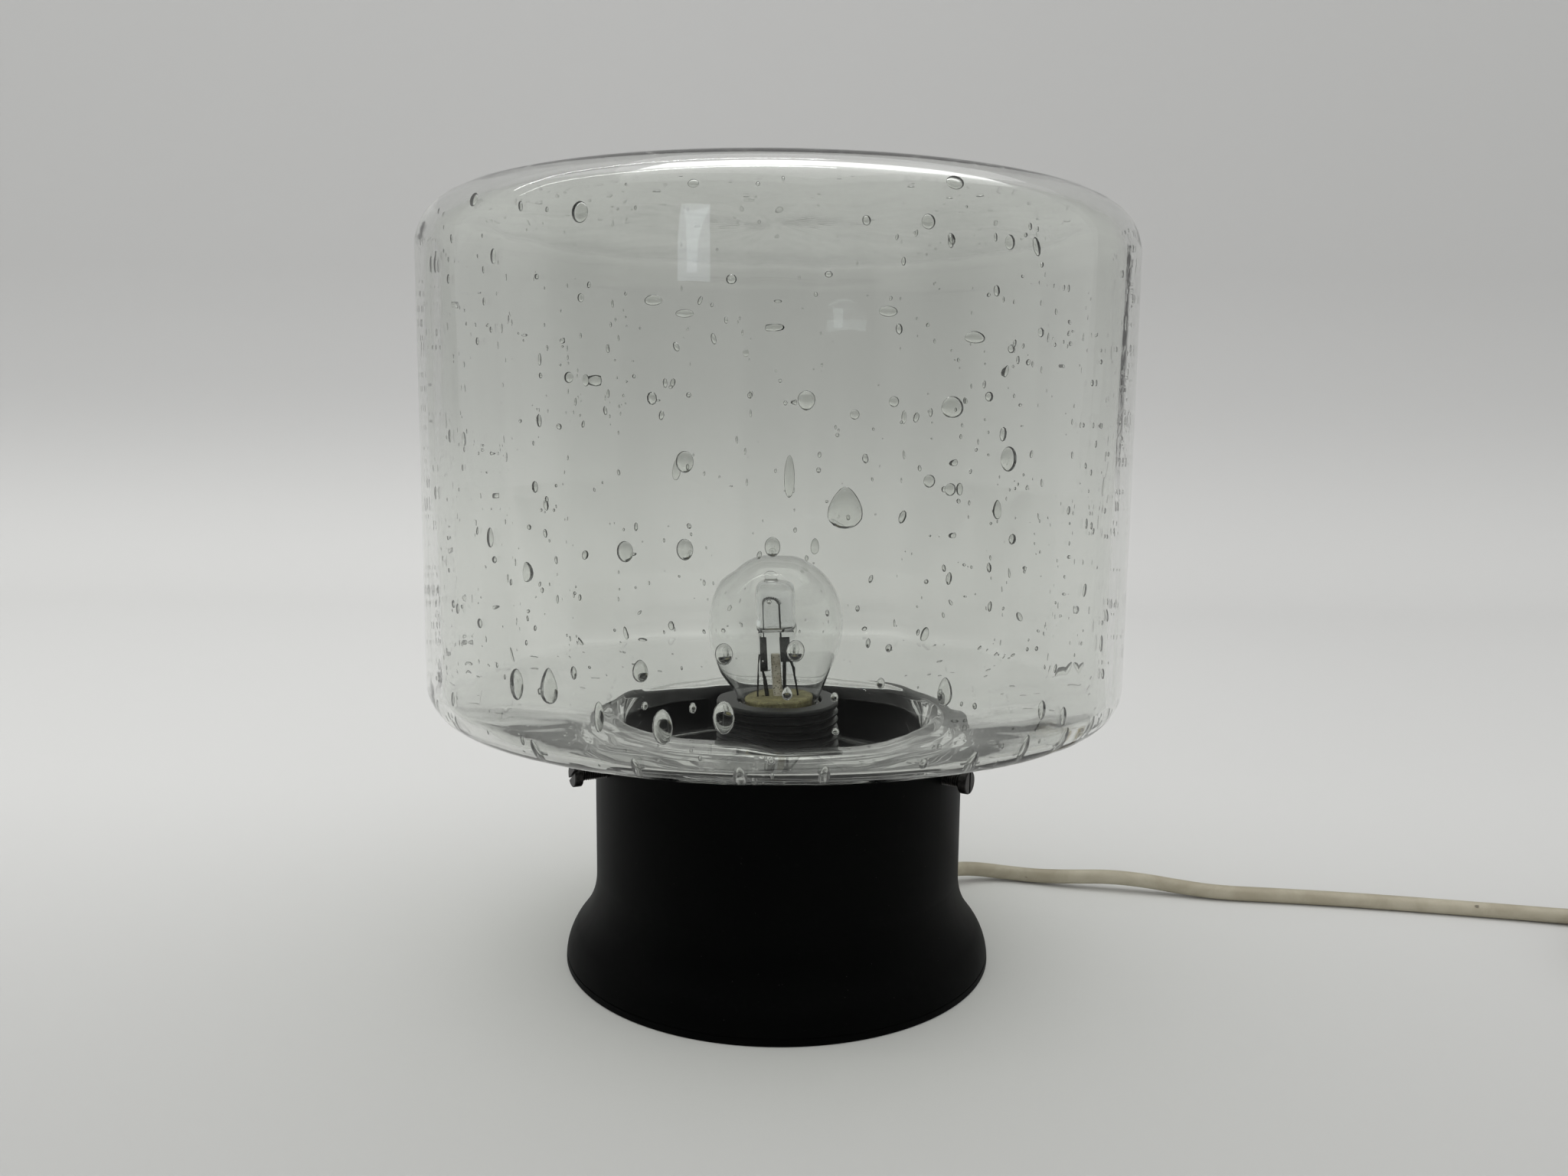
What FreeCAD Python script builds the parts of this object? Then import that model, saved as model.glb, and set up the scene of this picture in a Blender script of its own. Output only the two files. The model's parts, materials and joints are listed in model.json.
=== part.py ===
import FreeCAD, Part

import math
import os

from FreeCAD import Vector

# A ceiling light that stands upside down on its own canopy, with a thick bubbled glass drum on top.
# Millimetres. The origin is the centre of the canopy's foot, on the surface it stands on, and +Z is up.
# The bulb, its holder and the canopy share the Z axis. The glass sits a little to one side of it.

# Canopy: a spun steel cylinder that flares out to the foot, with a flange turned in at the bottom.
canopy_radius = 58.0
canopy_height = 74.0
canopy_wall = 1.6
foot_flare = 9.75
flare_angle = 40.0
flare_upper_radius = 25.6
flare_lower_radius = 16.0
flare_end_height = 0.5
flange_width = 6.25
foot_edge_fillet = 0.45
rim_fillet = 0.6
hem_line_height = 2.2
hem_line_depth = 0.25
hem_line_width = 0.5

# Glass drum: wall, dished bottom and a plain neck that drops into the canopy.
glass_offset = -1.4
glass_radius = 106.5
glass_height = 156.7
glass_wall = 5.0
glass_top_wall = 6.0
glass_floor_wall = 6.2
glass_floor_angle = 11.0
glass_top_fillet = 14.3
glass_bottom_fillet = 9.5
glass_inner_top_fillet = 9.0
glass_inner_bottom_fillet = 5.0
neck_side_gap = 1.8
neck_wall = 6.0
neck_depth = 16.0
neck_root_fillet = 0.8
neck_lip_fillet = 6.0
neck_end_fillet = 2.0
glass_seat_gap = 0.4

# Three slotted screws through the canopy wall grip the neck.
screw_drop = 8.5
screw_count = 3
screw_first_angle = -31.2
screw_shank_radius = 1.95
screw_root_radius = 1.6
screw_pitch = 0.7
screw_length = 10.0
screw_head_radius = 3.5
screw_head_height = 2.6
screw_head_fillet = 0.35
screw_slot_width = 0.9
screw_slot_depth = 1.2
screw_slot_turns = (90.0, 33.0, 60.0)
screw_tip_chamfer = 0.3
screw_hole_clearance = 0.08
screw_tip_gap = 0.3

# Mounting strap: a bent strip across the foot, with a slot at each end for the ceiling screws.
strap_thickness = 2.0
strap_width = 24.0
strap_end_gap = 2.15
strap_top_half_length = 30.0
strap_rise = 10.4
strap_slope_length = 8.0
strap_bend_radius = 2.0
slot_spacing = 100.0
slot_width = 4.6
slot_length = 9.0

# Hollow threaded tube, nuts and washer that carry the lampholder.
tube_radius = 4.95
tube_bore_radius = 3.6
tube_pitch = 1.0
tube_thread_depth = 0.45
tube_length = 21.0
tube_clearance = 0.1
nut_flats = 14.0
nut_height = 4.0
nut_fillet = 0.4
washer_radius = 8.6
washer_thickness = 0.8
washer_teeth = 12
washer_notch_depth = 1.4
washer_notch_width = 1.0

# Lampholder: dome, skirt with an outside thread, ceramic core and brass parts.
holder_gap = 3.2
dome_neck_radius = 9.0
dome_neck_height = 5.0
dome_neck_fillet = 2.0
dome_shoulder_rise = 14.0
dome_shoulder_fillet = 6.0
dome_inner_shoulder_drop = 2.0
dome_inner_fillet = 3.0
dome_depth = 22.0
dome_floor_wall = 8.4
dome_floor_half_width = 11.6
dome_collar_wall = 1.75
dome_edge_fillet = 0.8
dome_bore_fillet = 0.4
core_ledge_width = 1.7
dome_overlap = 5.0
skirt_length = 38.4
skirt_radius = 20.0
skirt_thread_depth = 1.1
skirt_thread_start = 0.8
skirt_pitch = 2.5
skirt_wall = 1.7
skirt_top_wall = 2.0
skirt_rim_chamfer = 0.5
skirt_top_fillet = 0.8
skirt_mouth_fillet = 0.5
skirt_mouth_gap = 0.65
skirt_thread_clearance = 0.25
core_height = 8.5
core_gap = 0.3
core_fillet = 0.6
core_hole_radius = 2.2
core_hole_margin = 2.0
contact_shell_gap = 0.3
contact_shell_height = 19.0
contact_shell_first_bead = 3.0
contact_shell_beads = 4
contact_shell_bead = 0.5
contact_shell_fillet = 0.4
contact_shell_flange_radius = 10.5
contact_sheet = 0.8
contact_tongue_width = 5.0
contact_tongue_length = 8.0
contact_tongue_foot = 3.5
contact_tongue_tip = 2.6
contact_tongue_nose = 0.6
contact_tongue_bend = 1.2
contact_gap = 0.3
contact_rise = 2.5
terminal_offset = 8.0
terminal_size = 5.0
terminal_height = 6.0
terminal_fillet = 0.5
terminal_bore_depth = 3.7
terminal_clearance = 0.05
terminal_screw_radius = 1.4
terminal_screw_head_radius = 2.3
terminal_screw_head_height = 1.6
terminal_screw_tip_gap = 0.1
terminal_screw_slot_width = 0.6
terminal_screw_slot_depth = 0.6

# Bulb: screw cap and a clear globe around a halogen capsule. The glass leans in its cap.
bulb_tip_radius = 4.8
bulb_tip_thickness = 1.4
bulb_insulator_height = 3.0
bulb_insulator_radius = 11.0
bulb_cap_length = 26.0
bulb_cap_crest_radius = 13.1
bulb_cap_thread_depth = 0.8
bulb_cap_thread_start = 0.4
bulb_cap_thread_fillet = 0.5
bulb_cap_pitch = 3.63
bulb_cap_turns = 4
bulb_cap_rim_step = 0.15
bulb_cap_rim_height = 1.6
bulb_cap_neck_height = 2.4
bulb_cap_lip = 0.4
bulb_cap_recess_depth = 1.8
bulb_cap_step_depth = 2.9
bulb_cap_wall = 0.5
globe_radius = 22.5
globe_rise = 25.3
globe_wall = 0.8
globe_neck_fillet = 5.0
globe_neck_depth = 1.0
globe_neck_clearance = 0.25
bulb_lean = -3.0
cement_depth = 3.0
cement_rise = 2.4
cement_gap = 0.1
cement_foot_inset = 1.6
cement_top_inset = 0.5
cement_fillet = 0.6
capsule_radius = 5.3
capsule_wall = 0.9
capsule_drop = 1.9
capsule_length = 16.2
capsule_bottom_fillet = 1.2
capsule_inner_fillet = 0.8
capsule_pip_radius = 1.3
capsule_pip_length = 2.9
pinch_width = 9.0
pinch_thickness = 2.6
pinch_length = 6.4
pinch_wire_depth = 2.0
pinch_leg_height = 3.0
support_wire_radius = 0.5
support_wire_offset = 3.1
stem_radius = 1.35
stem_gap = 0.3
stem_fillet = 0.5
filament_radius = 0.4
filament_half_width = 1.9
filament_drop = 6.1

# Mains lead: grommet with a tapered boot, anchorage inside, free lead, coil, tie and plug.
cord_diameter = 5.2
lead_exit_angle = 41.5
lead_exit_slope = 4.9
lead_exit_height = 6.4
boot_reach = 7.85
boot_inner_reach = 13.75
boot_inner_wall = 0.9
boot_inner_taper = 2.0
boot_outer_taper = 0.8
boot_tip_radius = 3.5
boot_root_radius = 4.9
boot_sleeve_radius = 4.1
boot_flange_radius = 5.6
boot_flange_thickness = 1.8
boot_bore_clearance = 0.05
grommet_hole_clearance = 0.15
grommet_groove_clearance = 0.15
inner_cord_first_run = 8.0
inner_cord_turn_y = 24.0
inner_cord_past_clamp = 2.0
inner_cord_bend_radius = 14.0
clamp_cord_lift = 0.05
core_wire_radius = 0.95
core_wire_spacing = 3.2
core_wire_start_offset = 1.0
core_wire_past_strap = 5.0
core_wire_strap_gap = 0.8
core_wire_over_tube = 1.5
core_wire_under_terminal = 2.6
core_wire_in_terminal = 3.2
core_wire_bends = (4.5, 4.5, 3.2, 1.4, 1.4)
cord_clamp_width = 16.0
cord_clamp_length = 8.0
cord_clamp_height = 7.0
cord_clamp_x = 20.0
cord_clamp_screw_offset = 5.6
cord_clamp_screw_radius = 1.4
cord_clamp_screw_head_radius = 2.0
cord_clamp_screw_head_height = 1.6
cord_clamp_screw_clearance = 0.1
cord_clamp_screw_past_strap = 1.0
cord_clamp_screw_slot_width = 0.6
cord_clamp_screw_slot_depth = 0.7
cord_clamp_fillet = 1.0
cord_clamp_clearance = 0.08
tie_thickness = 1.0
tie_width = 5.0
tie_gap = 0.3
tie_lower_gap = 0.1
tie_angle = 215.0
coil_pitch = 5.75
coil_mean_radius = 31.0
coil_turns = 7.2
coil_heading = -14.6
coil_steps_per_turn = 4
lead_last_run = 14.0
plug_boot_length = 22.0
plug_boot_tip_radius = 3.3
plug_boot_root_radius = 5.2
plug_boot_grooves = 4
plug_boot_groove_start = 5.0
plug_boot_groove_pitch = 4.0
plug_boot_groove_depth = 0.8
plug_boot_groove_width = 1.6
plug_boot_groove_slope = 0.3
plug_handle_radius = 9.2
plug_handle_length = 20.0
plug_handle_step = 1.6
plug_handle_swell = 8.0
plug_handle_start_fillet = 1.5
plug_handle_fillet = 4.0
plug_handle_overlap = 2.0
plug_front_length = 12.0
plug_front_width = 35.3
plug_front_thickness = 13.7
plug_front_fillet = 1.2
pin_spacing = 18.6
pin_radius = 2.0
pin_length = 19.0
pin_tip_fillet = 1.3
pin_root_length = 4.0
pin_sleeve_length = 10.0
pin_sleeve_core_radius = 1.5
pin_sleeve_inset = 0.05
pin_sleeve_start = 1.0

# The free lead's centre line outside the boot, from the boot's end to the coil.
lead_points = (
    (63.93, 56.56, 5.563),
    (73.1, 60.4, 4.3),
    (83.6, 61.0, 2.9),
    (95.2, 58.2, 2.7),
    (107.5, 55.0, 3.8),
    (120.5, 53.0, 4.9),
    (133.0, 50.5, 4.6),
    (145.5, 48.0, 3.3),
    (158.0, 44.8, 2.65),
    (176.0, 43.3, 2.6),
    (199.0, 40.7, 2.6),
    (226.0, 36.5, 2.6),
    (252.0, 31.9, 2.6),
    (274.0, 27.3, 2.8),
    (292.0, 22.9, 3.7),
)

# A fillet this share of half a width leaves a full round end.
almost = 0.999

axis_x = Vector(1, 0, 0)
axis_y = Vector(0, 1, 0)
axis_z = Vector(0, 0, 1)
centre = Vector(0, 0, 0)


# Helpers.


def save(name, *solids):
    """Write one node, a single solid or a group of separate solids, to its own file."""
    shape = solids[0] if len(solids) == 1 else Part.makeCompound(list(solids))
    shape.exportStep("parts/" + name + ".step")


def corner_arc(before, corner, after, radius):
    """The two tangent points and the middle point of the arc that rounds a corner."""
    back = (before - corner).normalize()
    ahead = (after - corner).normalize()
    half = back.getAngle(ahead) / 2
    reach = radius / math.tan(half)
    inward = (back + ahead).normalize()
    middle = corner + inward * (radius / math.sin(half) - radius)
    return corner + back * reach, middle, corner + ahead * reach


def rounded_wire(corners, place):
    """A closed wire through (u, v, fillet) corners, laid out by place(u, v)."""
    points = [place(u, v) for u, v, fillet in corners]
    rounds = []
    for i, (u, v, fillet) in enumerate(corners):
        after = points[(i + 1) % len(points)]
        if fillet:
            rounds.append(corner_arc(points[i - 1], points[i], after, fillet))
        else:
            rounds.append((points[i], None, points[i]))
    edges = []
    for i, (start, middle, end) in enumerate(rounds):
        if middle is not None:
            edges.append(Part.Arc(start, middle, end).toShape())
        following = rounds[(i + 1) % len(rounds)][0]
        if end.distanceToPoint(following) > 1e-6:
            edges.append(Part.LineSegment(end, following).toShape())
    return Part.Wire(edges)


def turned(corners):
    """A solid of revolution about Z from (radius, height, fillet) corners."""
    wire = rounded_wire(corners, lambda r, z: Vector(r, 0, z))
    return Part.Face(wire).revolve(centre, axis_z, 360)


def plate(corners, low, high):
    """A flat plate with (x, y, fillet) corners between two heights."""
    wire = rounded_wire(corners, lambda x, y: Vector(x, y, low))
    return Part.Face(wire).extrude(Vector(0, 0, high - low))


def rod(radius, low, high, x=0.0, y=0.0):
    return Part.makeCylinder(radius, high - low, Vector(x, y, low), axis_z)


def thread_corners(crest, root, low, high, pitch):
    """Corners of a thread drawn as rings, from low to high."""
    turns = int((high - low) / pitch)
    corners = []
    for i in range(turns):
        start = low + i * pitch
        corners += [
            (root, start + 0.15 * pitch, 0),
            (crest, start + 0.4 * pitch, 0),
            (crest, start + 0.6 * pitch, 0),
            (root, start + 0.85 * pitch, 0),
        ]
    return corners


def rod_x(radius, low, high):
    """A round bar along X."""
    return Part.makeCylinder(radius, high - low, Vector(low, 0, 0), axis_x)


def disc(radius, low, high, low_fillet, high_fillet):
    """Corners of a solid disc's outline."""
    return [(0, low, 0), (radius, low, low_fillet), (radius, high, high_fillet), (0, high, 0)]


def rectangle(half_x, half_y, fillet):
    """Corners of a rectangle round the Z axis."""
    signs = ((-1, -1), (1, -1), (1, 1), (-1, 1))
    return [(across * half_x, along * half_y, fillet) for across, along in signs]


def polygon_tube(points, radius, arc_radii):
    """A round tube along straight runs joined by tangent arcs."""
    edges = []
    start = points[0]
    for i in range(1, len(points) - 1):
        first, middle, last = corner_arc(points[i - 1], points[i], points[i + 1], arc_radii[i - 1])
        if start.distanceToPoint(first) > 1e-6:
            edges.append(Part.LineSegment(start, first).toShape())
        edges.append(Part.Arc(first, middle, last).toShape())
        start = last
    edges.append(Part.LineSegment(start, points[-1]).toShape())
    return swept(Part.Wire(edges), radius, points[0], points[1] - points[0])


def swept(path, radius, start, direction):
    profile = Part.Wire([Part.makeCircle(radius, start, direction)])
    return Part.Wire(path).makePipeShell([profile], True, False)


def cord_arc_radii(points):
    """Each bend's radius: as large as its two runs allow."""
    radii = []
    for i in range(1, len(points) - 1):
        back = points[i] - points[i - 1]
        ahead = points[i + 1] - points[i]
        half_turn = back.getAngle(ahead) / 2
        radii.append(0.45 * min(back.Length, ahead.Length) / math.tan(half_turn))
    return radii


def polar(radius, angle, height):
    turn = math.radians(angle)
    return Vector(radius * math.cos(turn), radius * math.sin(turn), height)


# Sizes that follow from others.

foot_radius = canopy_radius + foot_flare
flange_inner_radius = foot_radius - flange_width
neck_radius = canopy_radius - canopy_wall - neck_side_gap
screw_height = canopy_height - screw_drop
strap_half_length = foot_radius - canopy_wall - strap_end_gap
boot_end_radius = foot_radius + boot_reach
boot_inner_end_radius = foot_radius - boot_inner_reach
strap_low = canopy_wall
strap_top = strap_low + strap_thickness + strap_rise
strap_plate_bottom = strap_top - strap_thickness
tube_bottom = strap_plate_bottom - nut_height
tube_top = tube_bottom + tube_length
holder_bottom = strap_top + washer_thickness + nut_height + holder_gap
skirt_bottom = holder_bottom + dome_depth
skirt_top = skirt_bottom + skirt_length
skirt_root_radius = skirt_radius - skirt_thread_depth
skirt_bore_radius = skirt_root_radius - skirt_wall
core_bottom = skirt_bottom
core_top = core_bottom + core_height
bulb_tip_height = core_top + contact_rise
bulb_cap_top = bulb_tip_height + bulb_cap_length
bulb_cap_root_radius = bulb_cap_crest_radius - bulb_cap_thread_depth
bulb_cap_rim_radius = bulb_cap_crest_radius + bulb_cap_rim_step
skirt_mouth_radius = bulb_cap_rim_radius + skirt_mouth_gap
contact_shell_bore = bulb_cap_crest_radius + contact_shell_gap
contact_shell_radius = contact_shell_bore + contact_sheet
globe_neck_radius = bulb_cap_rim_radius - bulb_cap_lip - globe_neck_clearance
globe_neck_bottom = bulb_cap_top - globe_neck_depth
globe_centre_height = bulb_cap_top + globe_rise
cement_bottom = bulb_cap_top - cement_depth
cement_top = bulb_cap_top + cement_rise
capsule_bottom = globe_centre_height - capsule_drop
capsule_top = capsule_bottom + capsule_length
pinch_bottom = capsule_bottom - pinch_length
filament_top = capsule_top - filament_drop

# Canopy.

half_flare = math.tan(math.radians(flare_angle / 2))
flare_low_corner = flare_end_height + flare_lower_radius * half_flare
flare_high_corner = flare_low_corner + (foot_radius - canopy_radius) / math.tan(math.radians(flare_angle))


def canopy_wall_solid(outward, inward):
    """The canopy without its holes, its outer faces moved out and its inner faces moved in by the margins."""
    inner_shift = canopy_wall + inward
    outer_drop = outward * half_flare
    inner_drop = inner_shift * half_flare
    body = turned(
        [
            (0, 0, 0),
            (foot_radius + outward, 0, foot_edge_fillet),
            (foot_radius + outward, flare_low_corner + outer_drop, flare_lower_radius + outward),
            (canopy_radius + outward, flare_high_corner + outer_drop, flare_upper_radius - outward),
            (canopy_radius + outward, canopy_height, rim_fillet),
            (0, canopy_height, 0),
        ]
    )
    hollow = turned(
        [
            (0, -1, 0),
            (foot_radius - inner_shift, -1, 0),
            (foot_radius - inner_shift, flare_low_corner - inner_drop, flare_lower_radius - inner_shift),
            (canopy_radius - inner_shift, flare_high_corner - inner_drop, flare_upper_radius + inner_shift),
            (canopy_radius - inner_shift, canopy_height + 1, 0),
            (0, canopy_height + 1, 0),
        ]
    )
    flange_top = canopy_wall + inward
    above_flange = rod(foot_radius, flange_top, canopy_height + 2)
    through_flange = rod(flange_inner_radius, -1, flange_top)
    return body.cut(hollow.common(above_flange)).cut(through_flange)


def screw_angle(index):
    return screw_first_angle - 360.0 / screw_count * index


def radial(shape, angle, height):
    """Turn a shape built along +X to point outward at an angle and height."""
    placed = shape.copy()
    placed.rotate(centre, axis_z, angle)
    placed.translate(Vector(0, 0, height))
    return placed


def at_exit(shape):
    """Turn a shape built along +X, from the canopy's axis outward, onto the lead's sloping way out."""
    sloped = shape.copy()
    sloped.rotate(Vector(boot_end_radius, 0, 0), axis_y, lead_exit_slope)
    return radial(sloped, lead_exit_angle, lead_exit_height)


def exit_point(reach):
    """The point on the lead's way out that is a distance from the canopy's axis, along the slope."""
    slope = math.radians(lead_exit_slope)
    inward = boot_end_radius - reach
    level = boot_end_radius - inward * math.cos(slope)
    return polar(level, lead_exit_angle, lead_exit_height + inward * math.sin(slope))


def along_x(corners):
    """A solid of revolution about X from (distance along X, radius, fillet) corners."""
    wire = rounded_wire(corners, lambda x, r: Vector(x, 0, r))
    return Part.Face(wire).revolve(centre, axis_x, 360)


def make_canopy():
    shell = canopy_wall_solid(0, 0)
    groove = turned(
        [
            (foot_radius - hem_line_depth, hem_line_height, 0),
            (foot_radius + 1, hem_line_height, 0),
            (foot_radius + 1, hem_line_height + hem_line_width, 0),
            (foot_radius - hem_line_depth, hem_line_height + hem_line_width, 0),
        ]
    )
    shell = shell.cut(groove)
    hole = rod_x(screw_shank_radius + screw_hole_clearance, 0, foot_radius)
    for index in range(screw_count):
        shell = shell.cut(radial(hole, screw_angle(index), screw_height))
    return shell.cut(at_exit(rod_x(boot_sleeve_radius + grommet_hole_clearance, 0, foot_radius + 5)))


# Clamping screws.


def neck_reach(angle):
    """How far the neck's outer face lies from the axis at an angle, as the glass sits off centre."""
    along = glass_offset * math.cos(math.radians(angle))
    return along + math.sqrt(neck_radius**2 - glass_offset**2 + along**2)


def make_clamp_screw(index):
    root = screw_root_radius
    thread = thread_corners(screw_shank_radius, root, screw_tip_chamfer, screw_length, screw_pitch)
    corners = [(0, 0, 0), (0, root - screw_tip_chamfer, 0)]
    corners += [(height, radius, 0) for radius, height, fillet in thread]
    corners += [
        (screw_length, root, 0),
        (screw_length, screw_head_radius, screw_head_fillet),
        (screw_length + screw_head_height, screw_head_radius, screw_head_fillet),
        (screw_length + screw_head_height, 0, 0),
    ]
    screw = along_x(corners)
    slot_floor = screw_length + screw_head_height - screw_slot_depth
    slot_corner = Vector(slot_floor, -screw_head_radius * 1.5, -screw_slot_width / 2)
    slot = Part.makeBox(screw_slot_depth + 1, screw_head_radius * 3, screw_slot_width, slot_corner)
    slot.rotate(centre, axis_x, screw_slot_turns[index])
    screw = screw.cut(slot)
    angle = screw_angle(index)
    screw.translate(Vector(neck_reach(angle) + screw_tip_gap, 0, 0))
    return radial(screw, angle, screw_height)


# Glass drum.

floor_slope = math.tan(math.radians(glass_floor_angle))
rim_reach = canopy_radius - canopy_wall
seat_height = canopy_height + glass_seat_gap
glass_low = seat_height - floor_slope * (rim_reach + glass_offset)
glass_top = seat_height + glass_height


def glass_floor(radius):
    """Height of the dished bottom's outer face."""
    return glass_low + floor_slope * radius


def make_glass():
    inner_radius = glass_radius - glass_wall
    neck_bore = neck_radius - neck_wall
    rise = glass_floor_wall / math.cos(math.radians(glass_floor_angle))
    corners = [
        (neck_bore, canopy_height - neck_depth, neck_end_fillet),
        (neck_radius, canopy_height - neck_depth, neck_end_fillet),
        (neck_radius, glass_floor(neck_radius), neck_root_fillet),
        (glass_radius, glass_floor(glass_radius), glass_bottom_fillet),
        (glass_radius, glass_top, glass_top_fillet),
        (0, glass_top, 0),
        (0, glass_top - glass_top_wall, 0),
        (inner_radius, glass_top - glass_top_wall, glass_inner_top_fillet),
        (inner_radius, glass_floor(inner_radius) + rise, glass_inner_bottom_fillet),
        (neck_bore, glass_floor(neck_bore) + rise, neck_lip_fillet),
    ]
    drum = turned(corners)
    drum.translate(Vector(glass_offset, 0, 0))
    return drum


# Mounting strap, threaded tube, nuts and washer.


def make_strap():
    slope_foot = strap_top_half_length + strap_slope_length
    shift = strap_thickness * math.tan(math.atan2(strap_rise, strap_slope_length) / 2)
    outer_bend = strap_bend_radius + strap_thickness
    upper = [
        (strap_half_length, strap_low + strap_thickness, 0),
        (slope_foot, strap_low + strap_thickness, strap_bend_radius),
        (strap_top_half_length, strap_top, outer_bend),
    ]
    lower = [
        (strap_top_half_length - shift, strap_plate_bottom, strap_bend_radius),
        (slope_foot - shift, strap_low, outer_bend),
        (strap_half_length, strap_low, 0),
    ]
    outline = [(x, z, fillet) for x, z, fillet in upper]
    outline += [(-x, z, fillet) for x, z, fillet in reversed(upper)]
    outline += [(-x, z, fillet) for x, z, fillet in reversed(lower)]
    outline += [(x, z, fillet) for x, z, fillet in lower]
    wire = rounded_wire(outline, lambda x, z: Vector(x, -strap_width / 2, z))
    strap = Part.Face(wire).extrude(Vector(0, strap_width, 0))
    strap = strap.cut(rod(tube_radius + tube_clearance, 0, strap_top + 1))
    for side in (-1, 1):
        strap = strap.cut(ceiling_slot(side * slot_spacing / 2))
        clamp_hole_x = cord_clamp_x + side * cord_clamp_screw_offset
        strap = strap.cut(rod(cord_clamp_screw_radius, 0, strap_top + 1, clamp_hole_x))
    return strap


def ceiling_slot(x):
    corners = rectangle(slot_length / 2, slot_width / 2, slot_width / 2 * almost)
    slot = plate(corners, 0, strap_low + strap_thickness + 1)
    slot.translate(Vector(x, 0, 0))
    return slot


def make_tube():
    threads = thread_corners(tube_radius, tube_radius - tube_thread_depth, tube_bottom, tube_top, tube_pitch)
    corners = [(tube_bore_radius, tube_bottom, 0), (tube_radius - tube_thread_depth, tube_bottom, 0)]
    corners += threads
    corners += [(tube_radius - tube_thread_depth, tube_top, 0), (tube_bore_radius, tube_top, 0)]
    return turned(corners)


def hex_nut(low, bore):
    corner_radius = nut_flats / math.sqrt(3)
    spots = [polar(corner_radius, angle, 0) for angle in range(0, 360, 60)]
    corners = [(spot.x, spot.y, nut_fillet) for spot in spots]
    return plate(corners, low, low + nut_height).cut(rod(bore, low - 1, low + nut_height + 1))


def make_washer():
    ring = rod(washer_radius, strap_top, strap_top + washer_thickness)
    ring = ring.cut(rod(tube_radius + tube_clearance, strap_top - 1, strap_top + 2))
    notch = plate(rectangle(washer_notch_depth, washer_notch_width / 2, 0), strap_top - 1, strap_top + 2)
    notch.translate(Vector(washer_radius, 0, 0))
    for step in range(washer_teeth):
        tooth = notch.copy()
        tooth.rotate(centre, axis_z, step * 360 / washer_teeth)
        ring = ring.cut(tooth)
    return ring


# Lampholder.


def make_dome():
    tube_bore = tube_radius + tube_clearance
    collar_bore = skirt_radius + skirt_thread_clearance
    outside = collar_bore + dome_collar_wall
    ledge_radius = skirt_bore_radius - core_ledge_width
    shoulder = holder_bottom + dome_shoulder_rise
    floor_top = holder_bottom + dome_floor_wall
    return turned(
        [
            (tube_bore, holder_bottom, dome_bore_fillet),
            (dome_neck_radius, holder_bottom, dome_edge_fillet),
            (dome_neck_radius, holder_bottom + dome_neck_height, dome_neck_fillet),
            (outside, shoulder, dome_shoulder_fillet),
            (outside, skirt_bottom + dome_overlap, dome_edge_fillet),
            (collar_bore, skirt_bottom + dome_overlap, dome_bore_fillet),
            (collar_bore, skirt_bottom, 0),
            (ledge_radius, skirt_bottom, 0),
            (ledge_radius, shoulder + dome_inner_shoulder_drop, dome_inner_fillet),
            (dome_floor_half_width, floor_top, dome_edge_fillet),
            (tube_bore, floor_top, 0),
        ]
    )


def make_skirt():
    low = skirt_bottom
    high = skirt_top - skirt_top_wall
    threads = thread_corners(skirt_radius, skirt_root_radius, low + skirt_thread_start, high, skirt_pitch)
    corners = [(skirt_bore_radius, low, 0), (skirt_root_radius, low, 0)]
    corners += threads
    corners += [
        (skirt_root_radius, high, 0),
        (skirt_radius, high + skirt_rim_chamfer, 0),
        (skirt_radius, skirt_top, skirt_top_fillet),
        (skirt_mouth_radius, skirt_top, skirt_mouth_fillet),
        (skirt_mouth_radius, high, skirt_mouth_fillet),
        (skirt_bore_radius, high, 0),
    ]
    return turned(corners)


def make_core():
    radius = skirt_bore_radius - core_gap
    core = turned(disc(radius, core_bottom, core_top, core_fillet, core_fillet))
    hole_reach = radius - core_hole_radius - core_hole_margin
    for side in (-1, 1):
        core = core.cut(rod(core_hole_radius, core_bottom - 1, core_top + 1, 0, side * hole_reach))
    return core


def make_contact_shell():
    top = core_top + contact_shell_height
    rings = []
    for turn in range(contact_shell_beads):
        start = core_top + contact_shell_first_bead + turn * bulb_cap_pitch
        rings += [
            (contact_shell_radius, start, contact_shell_fillet),
            (contact_shell_radius + contact_shell_bead, start + bulb_cap_pitch / 3, contact_shell_bead),
            (contact_shell_radius + contact_shell_bead, start + bulb_cap_pitch * 0.55, contact_shell_bead),
            (contact_shell_radius, start + bulb_cap_pitch * 0.88, contact_shell_fillet),
        ]
    corners = [
        (contact_shell_flange_radius, core_top, 0),
        (contact_shell_radius, core_top, contact_shell_fillet),
    ]
    corners += rings
    corners += [
        (contact_shell_radius, top, 0),
        (contact_shell_bore, top, 0),
        (contact_shell_bore, core_top + contact_sheet, 0),
        (contact_shell_flange_radius, core_top + contact_sheet, 0),
    ]
    return turned(corners)


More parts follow.
